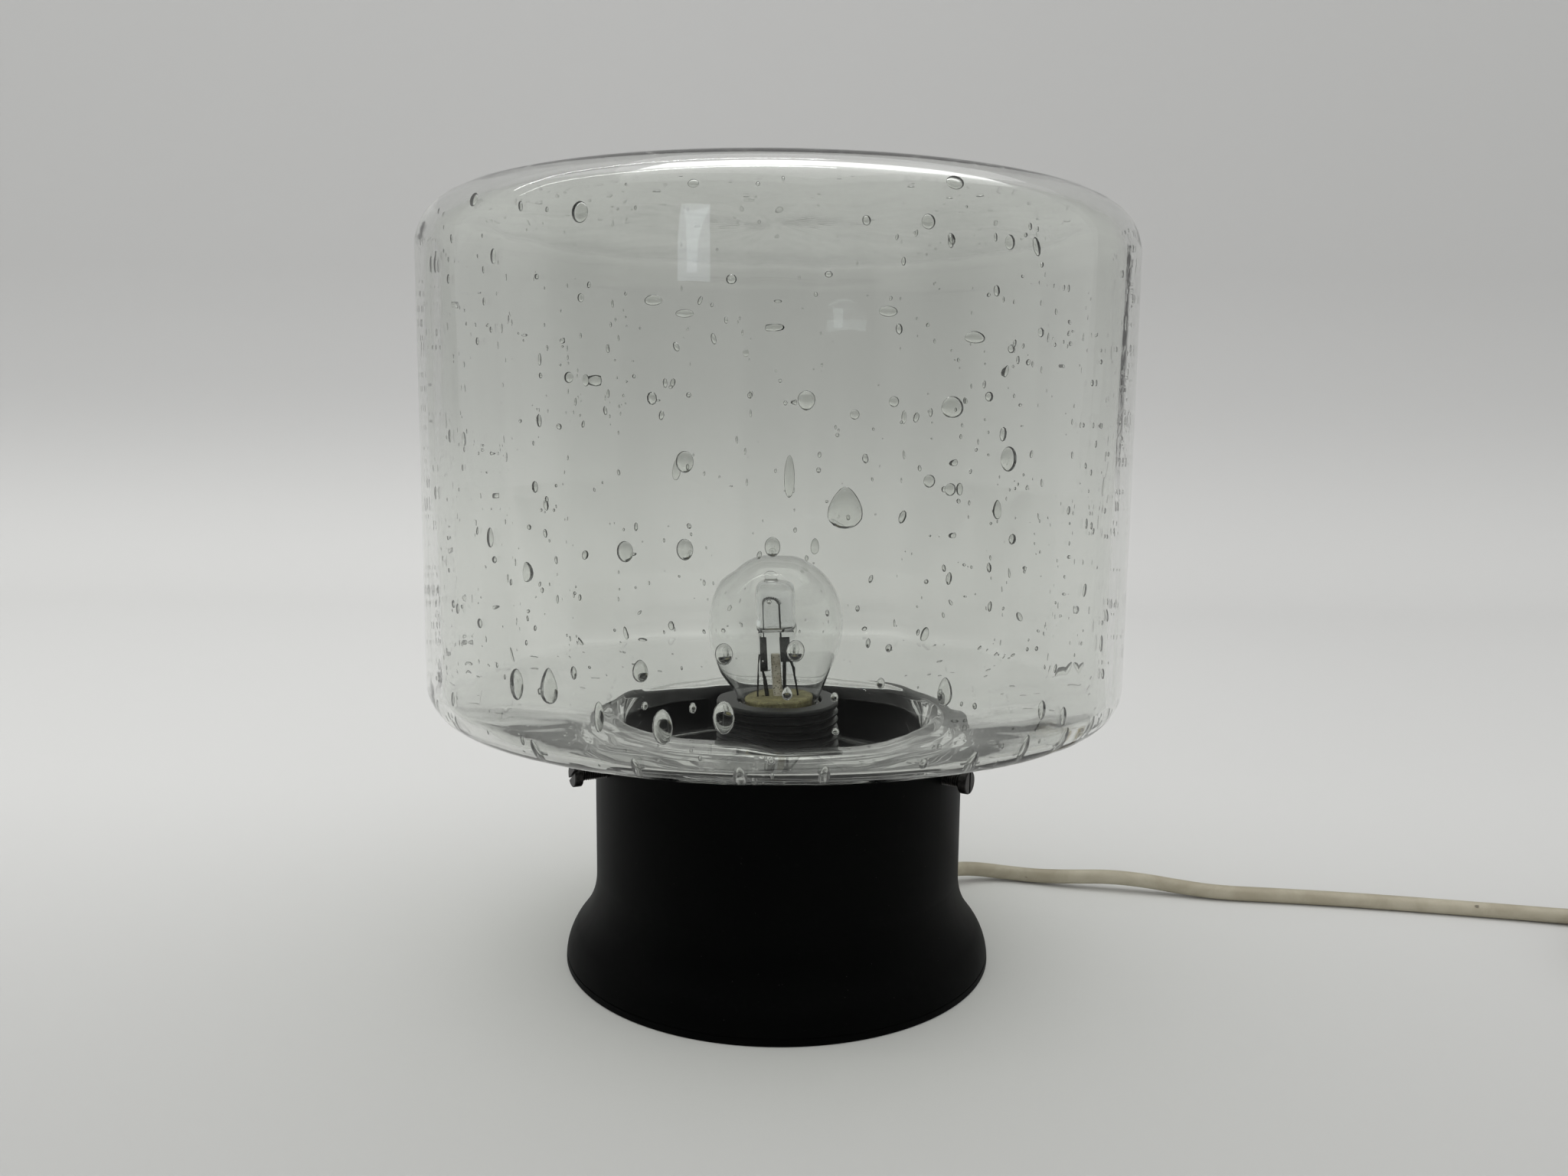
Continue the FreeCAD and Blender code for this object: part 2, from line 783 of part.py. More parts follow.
def make_centre_contact():
    tongue_top = bulb_tip_height - contact_gap
    tongue_low = tongue_top - contact_sheet
    reach = contact_tongue_length
    nose = contact_tongue_nose
    outline = [
        (-reach, core_top, 0),
        (-reach + contact_tongue_foot, core_top, contact_tongue_bend / 2),
        (nose, tongue_low, contact_tongue_bend),
        (contact_tongue_tip, tongue_low - nose, 0),
        (contact_tongue_tip, tongue_top - nose, 0),
        (0, tongue_top, contact_tongue_bend),
        (-reach + contact_tongue_foot - nose, core_top + contact_sheet, contact_tongue_bend / 2),
        (-reach, core_top + contact_sheet, 0),
    ]
    half = contact_tongue_width / 2
    wire = rounded_wire(outline, lambda x, z: Vector(x, -half, z))
    return Part.Face(wire).extrude(Vector(0, contact_tongue_width, 0))


def make_terminal(side):
    half = terminal_size / 2
    low = core_bottom - terminal_height
    block = plate(rectangle(half, half, terminal_fillet), low, core_bottom)
    block = block.cut(rod(core_wire_radius + terminal_clearance, low - 1, low + terminal_bore_depth))
    screw_start = Vector(0, -half - 1, low + terminal_height / 2)
    screw_hole_radius = terminal_screw_radius + terminal_clearance
    block = block.cut(Part.makeCylinder(screw_hole_radius, half + 1, screw_start, axis_y))
    block.translate(Vector(side * terminal_offset, 0, 0))
    return block


def make_terminal_screw(side):
    reach = terminal_size / 2 - core_wire_radius - terminal_screw_tip_gap
    screw = along_x(
        [
            (-terminal_screw_head_height, 0, 0),
            (-terminal_screw_head_height, terminal_screw_head_radius, 0.4),
            (0, terminal_screw_head_radius, 0),
            (0, terminal_screw_radius, 0),
            (reach, terminal_screw_radius, 0.3),
            (reach, 0, 0),
        ]
    )
    half_slot = terminal_screw_slot_width / 2
    slot_start = Vector(-terminal_screw_head_height, -terminal_screw_head_radius, -half_slot)
    slot_size = (terminal_screw_slot_depth, terminal_screw_head_radius * 2, terminal_screw_slot_width)
    screw = screw.cut(Part.makeBox(*slot_size, slot_start))
    screw.rotate(centre, axis_z, 90)
    screw.translate(Vector(side * terminal_offset, -terminal_size / 2, core_bottom - terminal_height / 2))
    return screw


# Bulb.


support_wire_top = pinch_bottom + pinch_wire_depth


def lean(shape):
    """The glass and what it holds lean about the top of the cap."""
    leaned = shape.copy()
    leaned.rotate(Vector(0, 0, bulb_cap_top), axis_y, bulb_lean)
    return leaned


def make_bulb_cap():
    low = bulb_tip_height + bulb_tip_thickness + bulb_insulator_height
    rings = []
    for turn in range(bulb_cap_turns):
        start = low + bulb_cap_thread_start + turn * bulb_cap_pitch
        rings += [
            (bulb_cap_root_radius, start + bulb_cap_pitch * 0.06, bulb_cap_thread_fillet * 0.8),
            (bulb_cap_crest_radius, start + bulb_cap_pitch * 0.36, bulb_cap_thread_fillet),
            (bulb_cap_crest_radius, start + bulb_cap_pitch * 0.64, bulb_cap_thread_fillet),
            (bulb_cap_root_radius, start + bulb_cap_pitch * 0.94, bulb_cap_thread_fillet * 0.8),
        ]
    inner = bulb_cap_root_radius - bulb_cap_wall
    recess = globe_neck_radius + globe_neck_clearance
    corners = [(inner, low, 0), (bulb_cap_root_radius, low, 0)]
    corners += rings
    corners += [
        (bulb_cap_root_radius, bulb_cap_top - bulb_cap_neck_height, bulb_cap_thread_fillet),
        (bulb_cap_rim_radius, bulb_cap_top - bulb_cap_rim_height, 0.3),
        (bulb_cap_rim_radius, bulb_cap_top, 0),
        (recess, bulb_cap_top, 0),
        (recess, bulb_cap_top - bulb_cap_recess_depth, 0),
        (inner, bulb_cap_top - bulb_cap_step_depth, 0.3),
    ]
    return turned(corners)


def make_bulb_insulator():
    low = bulb_tip_height + bulb_tip_thickness
    high = low + bulb_insulator_height
    seat = bulb_cap_root_radius
    return turned(
        [
            (0, low, 0),
            (bulb_tip_radius + 0.6, low, 0.4),
            (bulb_insulator_radius, high - 0.8, 0.4),
            (seat, high - 0.3, 0.2),
            (seat, high, 0),
            (0, high, 0),
        ]
    )


def make_bulb_tip():
    return turned(
        [
            (0, bulb_tip_height, 0),
            (bulb_tip_radius - 0.6, bulb_tip_height, 0.5),
            (bulb_tip_radius, bulb_tip_height + bulb_tip_thickness, 0),
            (0, bulb_tip_height + bulb_tip_thickness, 0),
        ]
    )


def globe_wire(radius, neck, fillet, bottom, closing):
    """Half outline of the globe: neck line, concave root arc and the ball's arc up to the pole."""
    turn_radius = neck + fillet
    drop = math.sqrt((radius + fillet) ** 2 - turn_radius**2)
    root = Vector(turn_radius, 0, globe_centre_height - drop)
    ball = Vector(0, 0, globe_centre_height)
    contact = ball + (root - ball).normalize() * radius
    neck_end = Vector(neck, 0, root.z)
    root_middle = root + ((contact - root).normalize() + Vector(-1, 0, 0)).normalize() * fillet
    pole = Vector(0, 0, globe_centre_height + radius)
    belly = Vector(radius, 0, globe_centre_height)
    edges = [
        Part.LineSegment(Vector(neck, 0, bottom), neck_end).toShape(),
        Part.Arc(neck_end, root_middle, contact).toShape(),
        Part.Arc(contact, belly, pole).toShape(),
    ]
    if closing:
        edges.append(Part.LineSegment(pole, Vector(0, 0, bottom)).toShape())
        edges.append(Part.LineSegment(Vector(0, 0, bottom), Vector(neck, 0, bottom)).toShape())
    return Part.Wire(edges)


def make_globe():
    outer = globe_wire(globe_radius, globe_neck_radius, globe_neck_fillet, globe_neck_bottom, True)
    inner = globe_wire(
        globe_radius - globe_wall,
        globe_neck_radius - globe_wall,
        globe_neck_fillet + globe_wall,
        globe_neck_bottom - 1,
        True,
    )
    body = Part.Face(outer).revolve(centre, axis_z, 360)
    hollow = Part.Face(inner).revolve(centre, axis_z, 360)
    return lean(body.cut(hollow))


def make_cement():
    radius = globe_neck_radius - globe_wall - cement_gap
    cap_inner = bulb_cap_root_radius - bulb_cap_wall - cement_gap
    outline = [
        (0, cement_bottom, 0),
        (cap_inner - cement_foot_inset, cement_bottom, 0),
        (radius - cement_top_inset, cement_top, cement_fillet),
        (0, cement_top, 0),
    ]
    plug = turned(outline)
    for side in (-1, 1):
        plug = plug.cut(rod(support_wire_radius, cement_bottom, cement_top + 1, side * support_wire_offset))
    return lean(plug)


def make_capsule():
    outer = turned(
        [
            (0, capsule_bottom, 0),
            (capsule_radius, capsule_bottom, capsule_bottom_fillet),
            (capsule_radius, capsule_top, capsule_radius * 0.72),
            (capsule_pip_radius, capsule_top, 0.4),
            (capsule_pip_radius, capsule_top + capsule_pip_length, capsule_pip_radius * 0.9),
            (0, capsule_top + capsule_pip_length, 0),
        ]
    )
    inner_radius = capsule_radius - capsule_wall
    hollow = turned(
        [
            (0, capsule_bottom + capsule_wall, 0),
            (inner_radius, capsule_bottom + capsule_wall, capsule_inner_fillet),
            (inner_radius, capsule_top - capsule_wall, inner_radius * 0.72),
            (0, capsule_top - capsule_wall, 0),
        ]
    )
    pinch = Part.makeBox(
        pinch_width,
        pinch_thickness,
        capsule_bottom + capsule_wall / 2 - pinch_bottom,
        Vector(-pinch_width / 2, -pinch_thickness / 2, pinch_bottom),
    )
    capsule = outer.cut(hollow).fuse(pinch)
    filament_bottom = capsule_bottom + capsule_wall + filament_radius
    for side in (-1, 1):
        wire_x = side * support_wire_offset
        capsule = capsule.cut(rod(support_wire_radius, pinch_bottom - 1, support_wire_top, wire_x))
        leg_x = side * filament_half_width
        capsule = capsule.cut(rod(filament_radius, pinch_bottom + pinch_leg_height, filament_bottom, leg_x))
    return lean(capsule)


def make_filament():
    legs = [
        Vector(-filament_half_width, 0, pinch_bottom + pinch_leg_height),
        Vector(-filament_half_width, 0, filament_top),
        Vector(filament_half_width, 0, filament_top),
        Vector(filament_half_width, 0, pinch_bottom + pinch_leg_height),
    ]
    bend = filament_half_width * 0.95
    return lean(polygon_tube(legs, filament_radius, [bend, bend]))


def make_support_wire(side):
    return lean(rod(support_wire_radius, cement_bottom, support_wire_top, side * support_wire_offset))


def make_stem():
    top = pinch_bottom - stem_gap
    return lean(turned(disc(stem_radius, cement_top, top, 0, stem_fillet)))


# Mains lead.

cord_radius = cord_diameter / 2


def make_grommet():
    wall = wall_span(lead_exit_height)
    outer = [
        (boot_inner_end_radius, cord_radius + boot_inner_wall, 0.5),
        (wall[0] - boot_flange_thickness - boot_inner_taper, boot_root_radius - 0.4, 0),
        (wall[0] - boot_flange_thickness, boot_flange_radius, 0.4),
        (wall[1] + boot_flange_thickness, boot_flange_radius, 0.6),
        (wall[1] + boot_flange_thickness + boot_outer_taper, boot_root_radius, 0),
        (boot_end_radius, boot_tip_radius, 0.5),
    ]
    bore = cord_radius + boot_bore_clearance
    corners = outer + [(boot_end_radius, bore, 0), (boot_inner_end_radius, bore, 0)]
    piece = at_exit(along_x(corners))
    groove = canopy_wall_solid(grommet_groove_clearance, grommet_groove_clearance)
    sleeve = Part.makeCylinder(boot_sleeve_radius, foot_radius + 5, centre, axis_x)
    groove = groove.cut(at_exit(sleeve))
    return max(piece.cut(groove).Solids, key=lambda solid: solid.Volume)


def wall_span(height):
    """Inner and outer radius of the flare at a height in its lower arc."""
    rise = height - flare_end_height
    outer = foot_radius - flare_lower_radius + math.sqrt(flare_lower_radius**2 - rise**2)
    inner_radius = flare_lower_radius - canopy_wall
    inner = foot_radius - flare_lower_radius + math.sqrt(inner_radius**2 - rise**2)
    return inner, outer


clamp_cord_height = strap_top + cord_radius + clamp_cord_lift


def make_inner_cord():
    points = [
        exit_point(boot_end_radius),
        exit_point(boot_inner_end_radius - inner_cord_first_run),
        Vector(cord_clamp_x, inner_cord_turn_y, clamp_cord_height),
        Vector(cord_clamp_x, -cord_clamp_length / 2 - inner_cord_past_clamp, clamp_cord_height),
    ]
    radii = [min(radius, inner_cord_bend_radius) for radius in cord_arc_radii(points)]
    return polygon_tube(points, cord_radius, radii)


def make_core_wire(side):
    offset = side * core_wire_spacing / 2
    under = strap_low + strap_thickness + core_wire_strap_gap
    drop = -strap_width / 2 - core_wire_past_strap
    terminal_low = core_bottom - terminal_height
    points = [
        Vector(cord_clamp_x + side * core_wire_start_offset, -cord_clamp_length, clamp_cord_height),
        Vector(cord_clamp_x + offset, drop, clamp_cord_height),
        Vector(cord_clamp_x + offset, drop, under),
        Vector(offset, 0, under),
        Vector(offset, 0, tube_top + core_wire_over_tube),
        Vector(side * terminal_offset, 0, terminal_low - core_wire_under_terminal),
        Vector(side * terminal_offset, 0, terminal_low + core_wire_in_terminal),
    ]
    return polygon_tube(points, core_wire_radius, core_wire_bends)


def make_cord_clamp():
    half_length = cord_clamp_length / 2
    corners = rectangle(cord_clamp_width / 2, half_length, 0)
    block = plate(corners, strap_top, strap_top + cord_clamp_height)
    ridges = [edge for edge in block.Edges if abs(edge.BoundBox.ZMin - strap_top - cord_clamp_height) < 1e-6]
    block = block.makeFillet(cord_clamp_fillet, ridges)
    channel_radius = cord_radius + cord_clamp_clearance
    channel_start = Vector(0, -half_length - 1, clamp_cord_height)
    channel = Part.makeCylinder(channel_radius, cord_clamp_length + 2, channel_start, axis_y)
    mouth = plate(rectangle(channel_radius, half_length + 1, 0), strap_top - 1, clamp_cord_height)
    block = block.cut(channel).cut(mouth)
    for side in (-1, 1):
        screw_x = side * cord_clamp_screw_offset
        over = strap_top + cord_clamp_height + 1
        block = block.cut(rod(cord_clamp_screw_radius, strap_top - 1, over, screw_x))
    block.translate(Vector(cord_clamp_x, 0, 0))
    return block


def make_clamp_fixing(side):
    low = strap_plate_bottom - cord_clamp_screw_past_strap
    head = strap_top + cord_clamp_height
    screw = turned(
        [
            (0, low, 0),
            (cord_clamp_screw_radius - cord_clamp_screw_clearance, low, 0.4),
            (cord_clamp_screw_radius - cord_clamp_screw_clearance, head, 0),
            (cord_clamp_screw_head_radius, head, 0),
            (cord_clamp_screw_head_radius, head + cord_clamp_screw_head_height, 0.6),
            (0, head + cord_clamp_screw_head_height, 0),
        ]
    )
    half_slot = cord_clamp_screw_slot_width / 2
    slot_floor = head + cord_clamp_screw_head_height - cord_clamp_screw_slot_depth
    slot_start = Vector(-cord_clamp_screw_head_radius, -half_slot, slot_floor)
    slot_size = (cord_clamp_screw_head_radius * 2, cord_clamp_screw_slot_width, cord_clamp_screw_slot_depth)
    screw = screw.cut(Part.makeBox(*slot_size, slot_start))
    screw.translate(Vector(cord_clamp_x + side * cord_clamp_screw_offset, 0, 0))
    return screw


# The coil: two layers, spiralling in at the bottom and out again on top.

coil_low = lead_points[-1][2]
coil_high = coil_low + coil_pitch
layer_turns = (coil_turns - 0.5) / 2
coil_outer = coil_mean_radius + coil_pitch * layer_turns / 2
coil_inner = coil_outer - coil_pitch * layer_turns
coil_rate = coil_pitch / (2 * math.pi)
coil_start_angle = coil_heading + 90 + math.degrees(math.atan2(coil_rate, coil_outer))
coil_first = Vector(*lead_points[-1]) + polar(lead_last_run + cord_diameter, coil_heading, 0)
coil_centre = Vector(coil_first.x, coil_first.y, 0) - polar(coil_outer, coil_start_angle, 0)


def coil_state(turn):
    """Radius, its rate, height and its rate, per radian, after a number of turns."""
    if turn <= layer_turns:
        return coil_outer - coil_pitch * turn, -coil_rate, coil_low, 0.0
    if turn >= layer_turns + 0.5:
        return coil_inner + coil_pitch * (turn - layer_turns - 0.5), coil_rate, coil_high, 0.0
    part = (turn - layer_turns) * 2
    dip = coil_rate * math.pi * (part - part**2)
    climb = coil_pitch * (3 * part**2 - 2 * part**3)
    climb_rate = coil_pitch * 6 * (part - part**2) / math.pi
    return coil_inner - dip, coil_rate * (2 * part - 1), coil_low + climb, climb_rate


def coil_node(turn):
    """Point and direction of the coil's centre line after a number of turns, turning clockwise."""
    radius, radius_rate, height, height_rate = coil_state(turn)
    angle = math.radians(coil_start_angle) - 2 * math.pi * turn
    outward = Vector(math.cos(angle), math.sin(angle), 0)
    onward = Vector(math.sin(angle), -math.cos(angle), 0)
    point = coil_centre + outward * radius + Vector(0, 0, height)
    return point, (outward * radius_rate + onward * radius + axis_z * height_rate).normalize()


def tangent_arc(start, direction, end):
    """An arc that leaves start along direction and reaches end."""
    chord = end - start
    ahead = Vector(direction) - chord * (direction.dot(chord) / chord.dot(chord))
    if ahead.Length < 1e-7:
        return Part.LineSegment(start, end).toShape()
    half = direction.getAngle(chord)
    middle = (start + end) * 0.5 + ahead.normalize() * (chord.Length / 2 * math.tan(half / 2))
    return Part.Arc(start, middle, end).toShape()


def biarc(start, start_direction, end, end_direction):
    """Two tangent arcs from one point and direction to another."""
    span = end - start
    both = start_direction + end_direction
    spread = 2 * (1 - start_direction.dot(end_direction))
    along = span.dot(both)
    reach = (math.sqrt(along**2 + spread * span.dot(span)) - along) / spread
    joint = (start + end + (start_direction - end_direction) * reach) * 0.5
    back = tangent_arc(end, end_direction * -1, joint)
    return [tangent_arc(start, start_direction, joint), back]


layer_steps = math.ceil(layer_turns * coil_steps_per_turn)
coil_stations = [layer_turns * step / layer_steps for step in range(layer_steps + 1)]
coil_stations += [layer_turns + 0.25]
coil_stations += [layer_turns + 0.5 + turn for turn in coil_stations[: layer_steps + 1]]


def make_coil():
    nodes = [coil_node(turn) for turn in coil_stations]
    first, first_direction = nodes[0]
    last, last_direction = nodes[-1]
    start = first - first_direction * cord_diameter
    end = last + last_direction * cord_diameter
    edges = [Part.LineSegment(start, first).toShape()]
    for (point, direction), (following, next_direction) in zip(nodes, nodes[1:]):
        edges += biarc(point, direction, following, next_direction)
    edges.append(Part.LineSegment(last, end).toShape())
    path = Part.Wire(Part.__sortEdges__(edges))
    length = sum(edge.Length for edge in edges)
    coil = swept(path, cord_radius, start, first_direction)
    print("coil: least gap %.2f, outer radius %.1f" % (coil_gap(edges), coil_outer + cord_radius))
    print_fill("coil", coil, length)
    return coil, start, end, last_direction


def print_fill(name, tube, length):
    """A tube's volume should be its section times its length."""
    fill = tube.Volume / (math.pi * cord_radius**2 * length)
    print("%s: length %.0f, volume over section times length %.4f" % (name, length, fill))


def coil_gap(edges):
    """The least distance between the tube's own faces, between points over half a turn apart."""
    points = []
    for edge in edges:
        count = max(2, int(edge.Length / 2))
        samples = edge.discretize(count + 1)
        if points and samples[0].distanceToPoint(points[-1]) > samples[-1].distanceToPoint(points[-1]):
            samples.reverse()
        points += samples[1:] if points else samples
    apart = int(math.pi * coil_inner / 2)
    least = min(
        (points[i] - points[j]).Length for i in range(len(points)) for j in range(i + apart, len(points))
    )
    return least - cord_diameter


def make_lead(end_point):
    points = [exit_point(boot_end_radius)] + [Vector(*point) for point in lead_points] + [end_point]
    radii = cord_arc_radii(points)
    print("lead: bend radii", " ".join("%.0f" % radius for radius in radii))
    tube = polygon_tube(points, cord_radius, radii)
    print_fill("lead", tube, polygon_length(points, radii))
    return tube


def polygon_length(points, radii):
    length = sum((b - a).Length for a, b in zip(points, points[1:]))
    for i, radius in enumerate(radii, start=1):
        turn = (points[i] - points[i - 1]).getAngle(points[i + 1] - points[i])
        length -= radius * (2 * math.tan(turn / 2) - turn)
    return length


def make_tie():
    """A flat strap round the coil's cross-section."""
    half_span = (coil_outer - coil_inner) / 2 + coil_pitch / 8 + cord_radius + tie_gap
    bottom = coil_low - cord_radius - tie_lower_gap
    top = coil_high + cord_radius + tie_gap
    middle = (coil_outer + coil_inner - coil_pitch / 8) / 2

    def ring(margin, width):
        corners = [
            (middle - half_span - margin, bottom - margin, cord_radius + margin),
            (middle + half_span + margin, bottom - margin, cord_radius + margin),
            (middle + half_span + margin, top + margin, cord_radius + margin),
            (middle - half_span - margin, top + margin, cord_radius + margin),
        ]
        wire = rounded_wire(corners, lambda x, z: Vector(x, -width / 2, z))
        return Part.Face(wire).extrude(Vector(0, width, 0))

    strap = ring(tie_thickness, tie_width).cut(ring(0, tie_width * 2))
    strap.rotate(centre, axis_z, tie_angle)
    strap.translate(coil_centre)
    return strap


# Plug, built along +X from the cord's end, then turned to meet the coil.

plug_body_start = plug_boot_length
plug_front_start = plug_body_start + plug_handle_length
plug_face = plug_front_start + plug_front_length


def make_plug_boot():
    corners = [(0, 0, 0), (0, plug_boot_tip_radius, 0.5)]
    taper = (plug_boot_root_radius - plug_boot_tip_radius) / plug_boot_length
    for groove in range(plug_boot_grooves):
        start = plug_boot_groove_start + groove * plug_boot_groove_pitch
        outside = plug_boot_tip_radius + taper * start
        inside = outside - plug_boot_groove_depth
        end = start + plug_boot_groove_width
        slope = plug_boot_groove_slope
        corners += [(start, outside, 0), (start + slope, inside, 0)]
        corners += [(end - slope, inside, 0), (end, outside, 0)]
    corners += [(plug_boot_length, plug_boot_root_radius, 0), (plug_boot_length, 0, 0)]
    return along_x(corners)


def make_plug_body():
    handle = along_x(
        [
            (plug_body_start, 0, 0),
            (plug_body_start, plug_handle_radius - plug_handle_step, plug_handle_start_fillet),
            (plug_body_start + plug_handle_swell, plug_handle_radius, plug_handle_fillet),
            (plug_front_start + plug_handle_overlap, plug_handle_radius, 0),
            (plug_front_start + plug_handle_overlap, 0, 0),
        ]
    )
    half_thickness = plug_front_thickness / 2
    corners = rectangle(plug_front_width / 2, half_thickness, half_thickness * almost)
    wire = rounded_wire(corners, lambda y, z: Vector(plug_front_start, y, z))
    front = Part.Face(wire).extrude(Vector(plug_front_length, 0, 0))
    rims = [edge for edge in front.Edges if abs(edge.BoundBox.XLength) < 1e-6]
    front = front.makeFillet(plug_front_fillet, rims)
    body = front.fuse(handle).removeSplitter()
    for side in (-1, 1):
        body = body.cut(pin_shape(side)).cut(sleeve_shape(side))
    return body


def pin_shape(side):
    waist = plug_face + pin_sleeve_length
    pin = along_x(
        [
            (plug_face - pin_root_length, 0, 0),
            (plug_face - pin_root_length, pin_sleeve_core_radius, 0),
            (waist, pin_sleeve_core_radius, 0),
            (waist, pin_radius, 0),
            (plug_face + pin_length, pin_radius, pin_tip_fillet),
            (plug_face + pin_length, 0, 0),
        ]
    )
    pin.translate(Vector(0, side * pin_spacing / 2, 0))
    return pin


def sleeve_shape(side):
    sleeve = along_x(
        [
            (plug_face - pin_root_length + pin_sleeve_start, pin_sleeve_core_radius, 0),
            (plug_face - pin_root_length + pin_sleeve_start, pin_radius - pin_sleeve_inset, 0),
            (plug_face + pin_sleeve_length, pin_radius - pin_sleeve_inset, 0),
            (plug_face + pin_sleeve_length, pin_sleeve_core_radius, 0),
        ]
    )
    sleeve.translate(Vector(0, side * pin_spacing / 2, 0))
    return sleeve


def at_coil_end(shape, end, direction):
    placed = shape.copy()
    placed.rotate(centre, axis_z, math.degrees(math.atan2(direction.y, direction.x)))
    placed.translate(end)
    return placed


os.makedirs("parts", exist_ok=True)

save("canopy_shell", make_canopy())
for screw_index, screw_name in enumerate(("right", "left", "back")):
    save("clamp_screw_" + screw_name, make_clamp_screw(screw_index))
save("glass_shade", make_glass())
save("mounting_strap", make_strap())
save("threaded_tube", make_tube())
nut_bore = tube_radius + tube_clearance
save("tube_nuts", hex_nut(tube_bottom, nut_bore), hex_nut(strap_top + washer_thickness, nut_bore))
save("lock_washer", make_washer())

save("lampholder_dome", make_dome())
save("lampholder_skirt", make_skirt())
save("lampholder_core", make_core())
save("lampholder_contact_shell", make_contact_shell())
save("lampholder_centre_contact", make_centre_contact())
save("lampholder_terminals", make_terminal(-1), make_terminal(1))
save("lampholder_terminal_screws", make_terminal_screw(-1), make_terminal_screw(1))

save("bulb_cap", make_bulb_cap())
save("bulb_insulator", make_bulb_insulator())
save("bulb_tip_contact", make_bulb_tip())
save("bulb_globe", make_globe())
save("bulb_cement", make_cement())
save("bulb_capsule", make_capsule())
save("bulb_filament", make_filament())
save("bulb_support_wires", make_support_wire(-1), make_support_wire(1))
save("bulb_stem", make_stem())

save("cord_grommet", make_grommet())
save("cord_inner", make_inner_cord())
save("core_wire_live", make_core_wire(1))
save("core_wire_neutral", make_core_wire(-1))
save("cord_clamp", make_cord_clamp())
save("cord_clamp_screws", make_clamp_fixing(-1), make_clamp_fixing(1))

coil_solid, coil_start, coil_end, coil_end_direction = make_coil()
save("cord_lead", make_lead(coil_start))
save("cord_coil", coil_solid)
save("cord_tie", make_tie())
save("plug_boot", at_coil_end(make_plug_boot(), coil_end, coil_end_direction))
save("plug_body", at_coil_end(make_plug_body(), coil_end, coil_end_direction))
save("plug_pins", *[at_coil_end(pin_shape(side), coil_end, coil_end_direction) for side in (-1, 1)])
save("plug_pin_sleeves", *[at_coil_end(sleeve_shape(side), coil_end, coil_end_direction) for side in (-1, 1)])
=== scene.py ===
import json
import math
import random

import bmesh
import bpy
from mathutils import Matrix, Vector, noise


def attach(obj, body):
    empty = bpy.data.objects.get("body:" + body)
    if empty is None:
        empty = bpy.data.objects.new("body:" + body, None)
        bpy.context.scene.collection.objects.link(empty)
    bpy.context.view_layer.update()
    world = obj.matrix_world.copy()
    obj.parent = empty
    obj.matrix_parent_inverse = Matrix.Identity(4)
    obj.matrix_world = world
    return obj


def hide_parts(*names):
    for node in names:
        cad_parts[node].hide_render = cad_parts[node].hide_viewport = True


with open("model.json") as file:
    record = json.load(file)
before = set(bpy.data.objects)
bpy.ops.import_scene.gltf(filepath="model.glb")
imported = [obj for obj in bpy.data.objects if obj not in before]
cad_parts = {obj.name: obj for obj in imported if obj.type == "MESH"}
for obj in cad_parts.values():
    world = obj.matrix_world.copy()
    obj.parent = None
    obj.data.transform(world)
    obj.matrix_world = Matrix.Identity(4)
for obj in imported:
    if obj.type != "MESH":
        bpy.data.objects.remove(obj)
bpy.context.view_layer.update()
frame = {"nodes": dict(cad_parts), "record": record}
nodes = frame["nodes"]
mm = 0.001
print("frame loaded:", len(nodes), "nodes")


# Camera
cameraView = {
    "place": (8.33, -382.48, 168.51),  # mm
    "pitchDown": 7.579,  # degrees
    "yaw": -1.070,
    "roll": 0.561,
    "lens": 28.125,  # on a 36 mm sensor
}


def addCamera():
    pitch = math.radians(cameraView["pitchDown"])
    yaw = math.radians(cameraView["yaw"])
    roll = math.radians(cameraView["roll"])
    ahead = Vector((math.sin(yaw) * math.cos(pitch), math.cos(yaw) * math.cos(pitch), -math.sin(pitch)))
    level = ahead.cross(Vector((0, 0, 1))).normalized()
    upright = level.cross(ahead)
    right = level * math.cos(roll) + upright * math.sin(roll)
    up = upright * math.cos(roll) - level * math.sin(roll)
    data = bpy.data.cameras.new("camera")
    data.lens = cameraView["lens"]
    data.sensor_width = 36
    data.clip_start = 0.01
    camera = bpy.data.objects.new("camera", data)
    camera.matrix_world = Matrix.Translation(Vector(cameraView["place"]) * mm) @ Matrix(
        (right, up, -ahead)
    ).transposed().to_4x4()
    bpy.context.scene.collection.objects.link(camera)
    bpy.context.scene.camera = camera


addCamera()


# Shader maths: an expression on sockets adds its own Math nodes
class Value:
    def __init__(self, finish, socket):
        self.finish = finish
        self.socket = socket

    def math(self, operation, first, second, clamp=False):
        settings = {"operation": operation, "use_clamp": clamp}
        return self.finish.node("ShaderNodeMath", settings, {0: first, 1: second})

    def __add__(self, other):
        return self.math("ADD", self, other)

    def __radd__(self, other):
        return self.math("ADD", other, self)

    def __mul__(self, other):
        return self.math("MULTIPLY", self, other)

    def __rmul__(self, other):
        return self.math("MULTIPLY", other, self)

    def __sub__(self, other):
        return self.math("SUBTRACT", self, other)

    def __rsub__(self, other):
        return self.math("SUBTRACT", other, self)

    def above(self, edge, softness):
        return self.finish.node(
            "ShaderNodeMapRange",
            {"interpolation_type": "SMOOTHSTEP"},
            {"Value": self, "From Min": edge - softness, "From Max": edge + softness},
        )

    def below(self, edge, softness):
        return 1 - self.above(edge, softness)

    def clamped(self):
        return self.math("ADD", self, 0, clamp=True)

    def part(self, name):
        names = {"X": 0, "Y": 1, "Z": 2}
        return self.finish.node("ShaderNodeSeparateXYZ", {}, {0: self}, names[name])


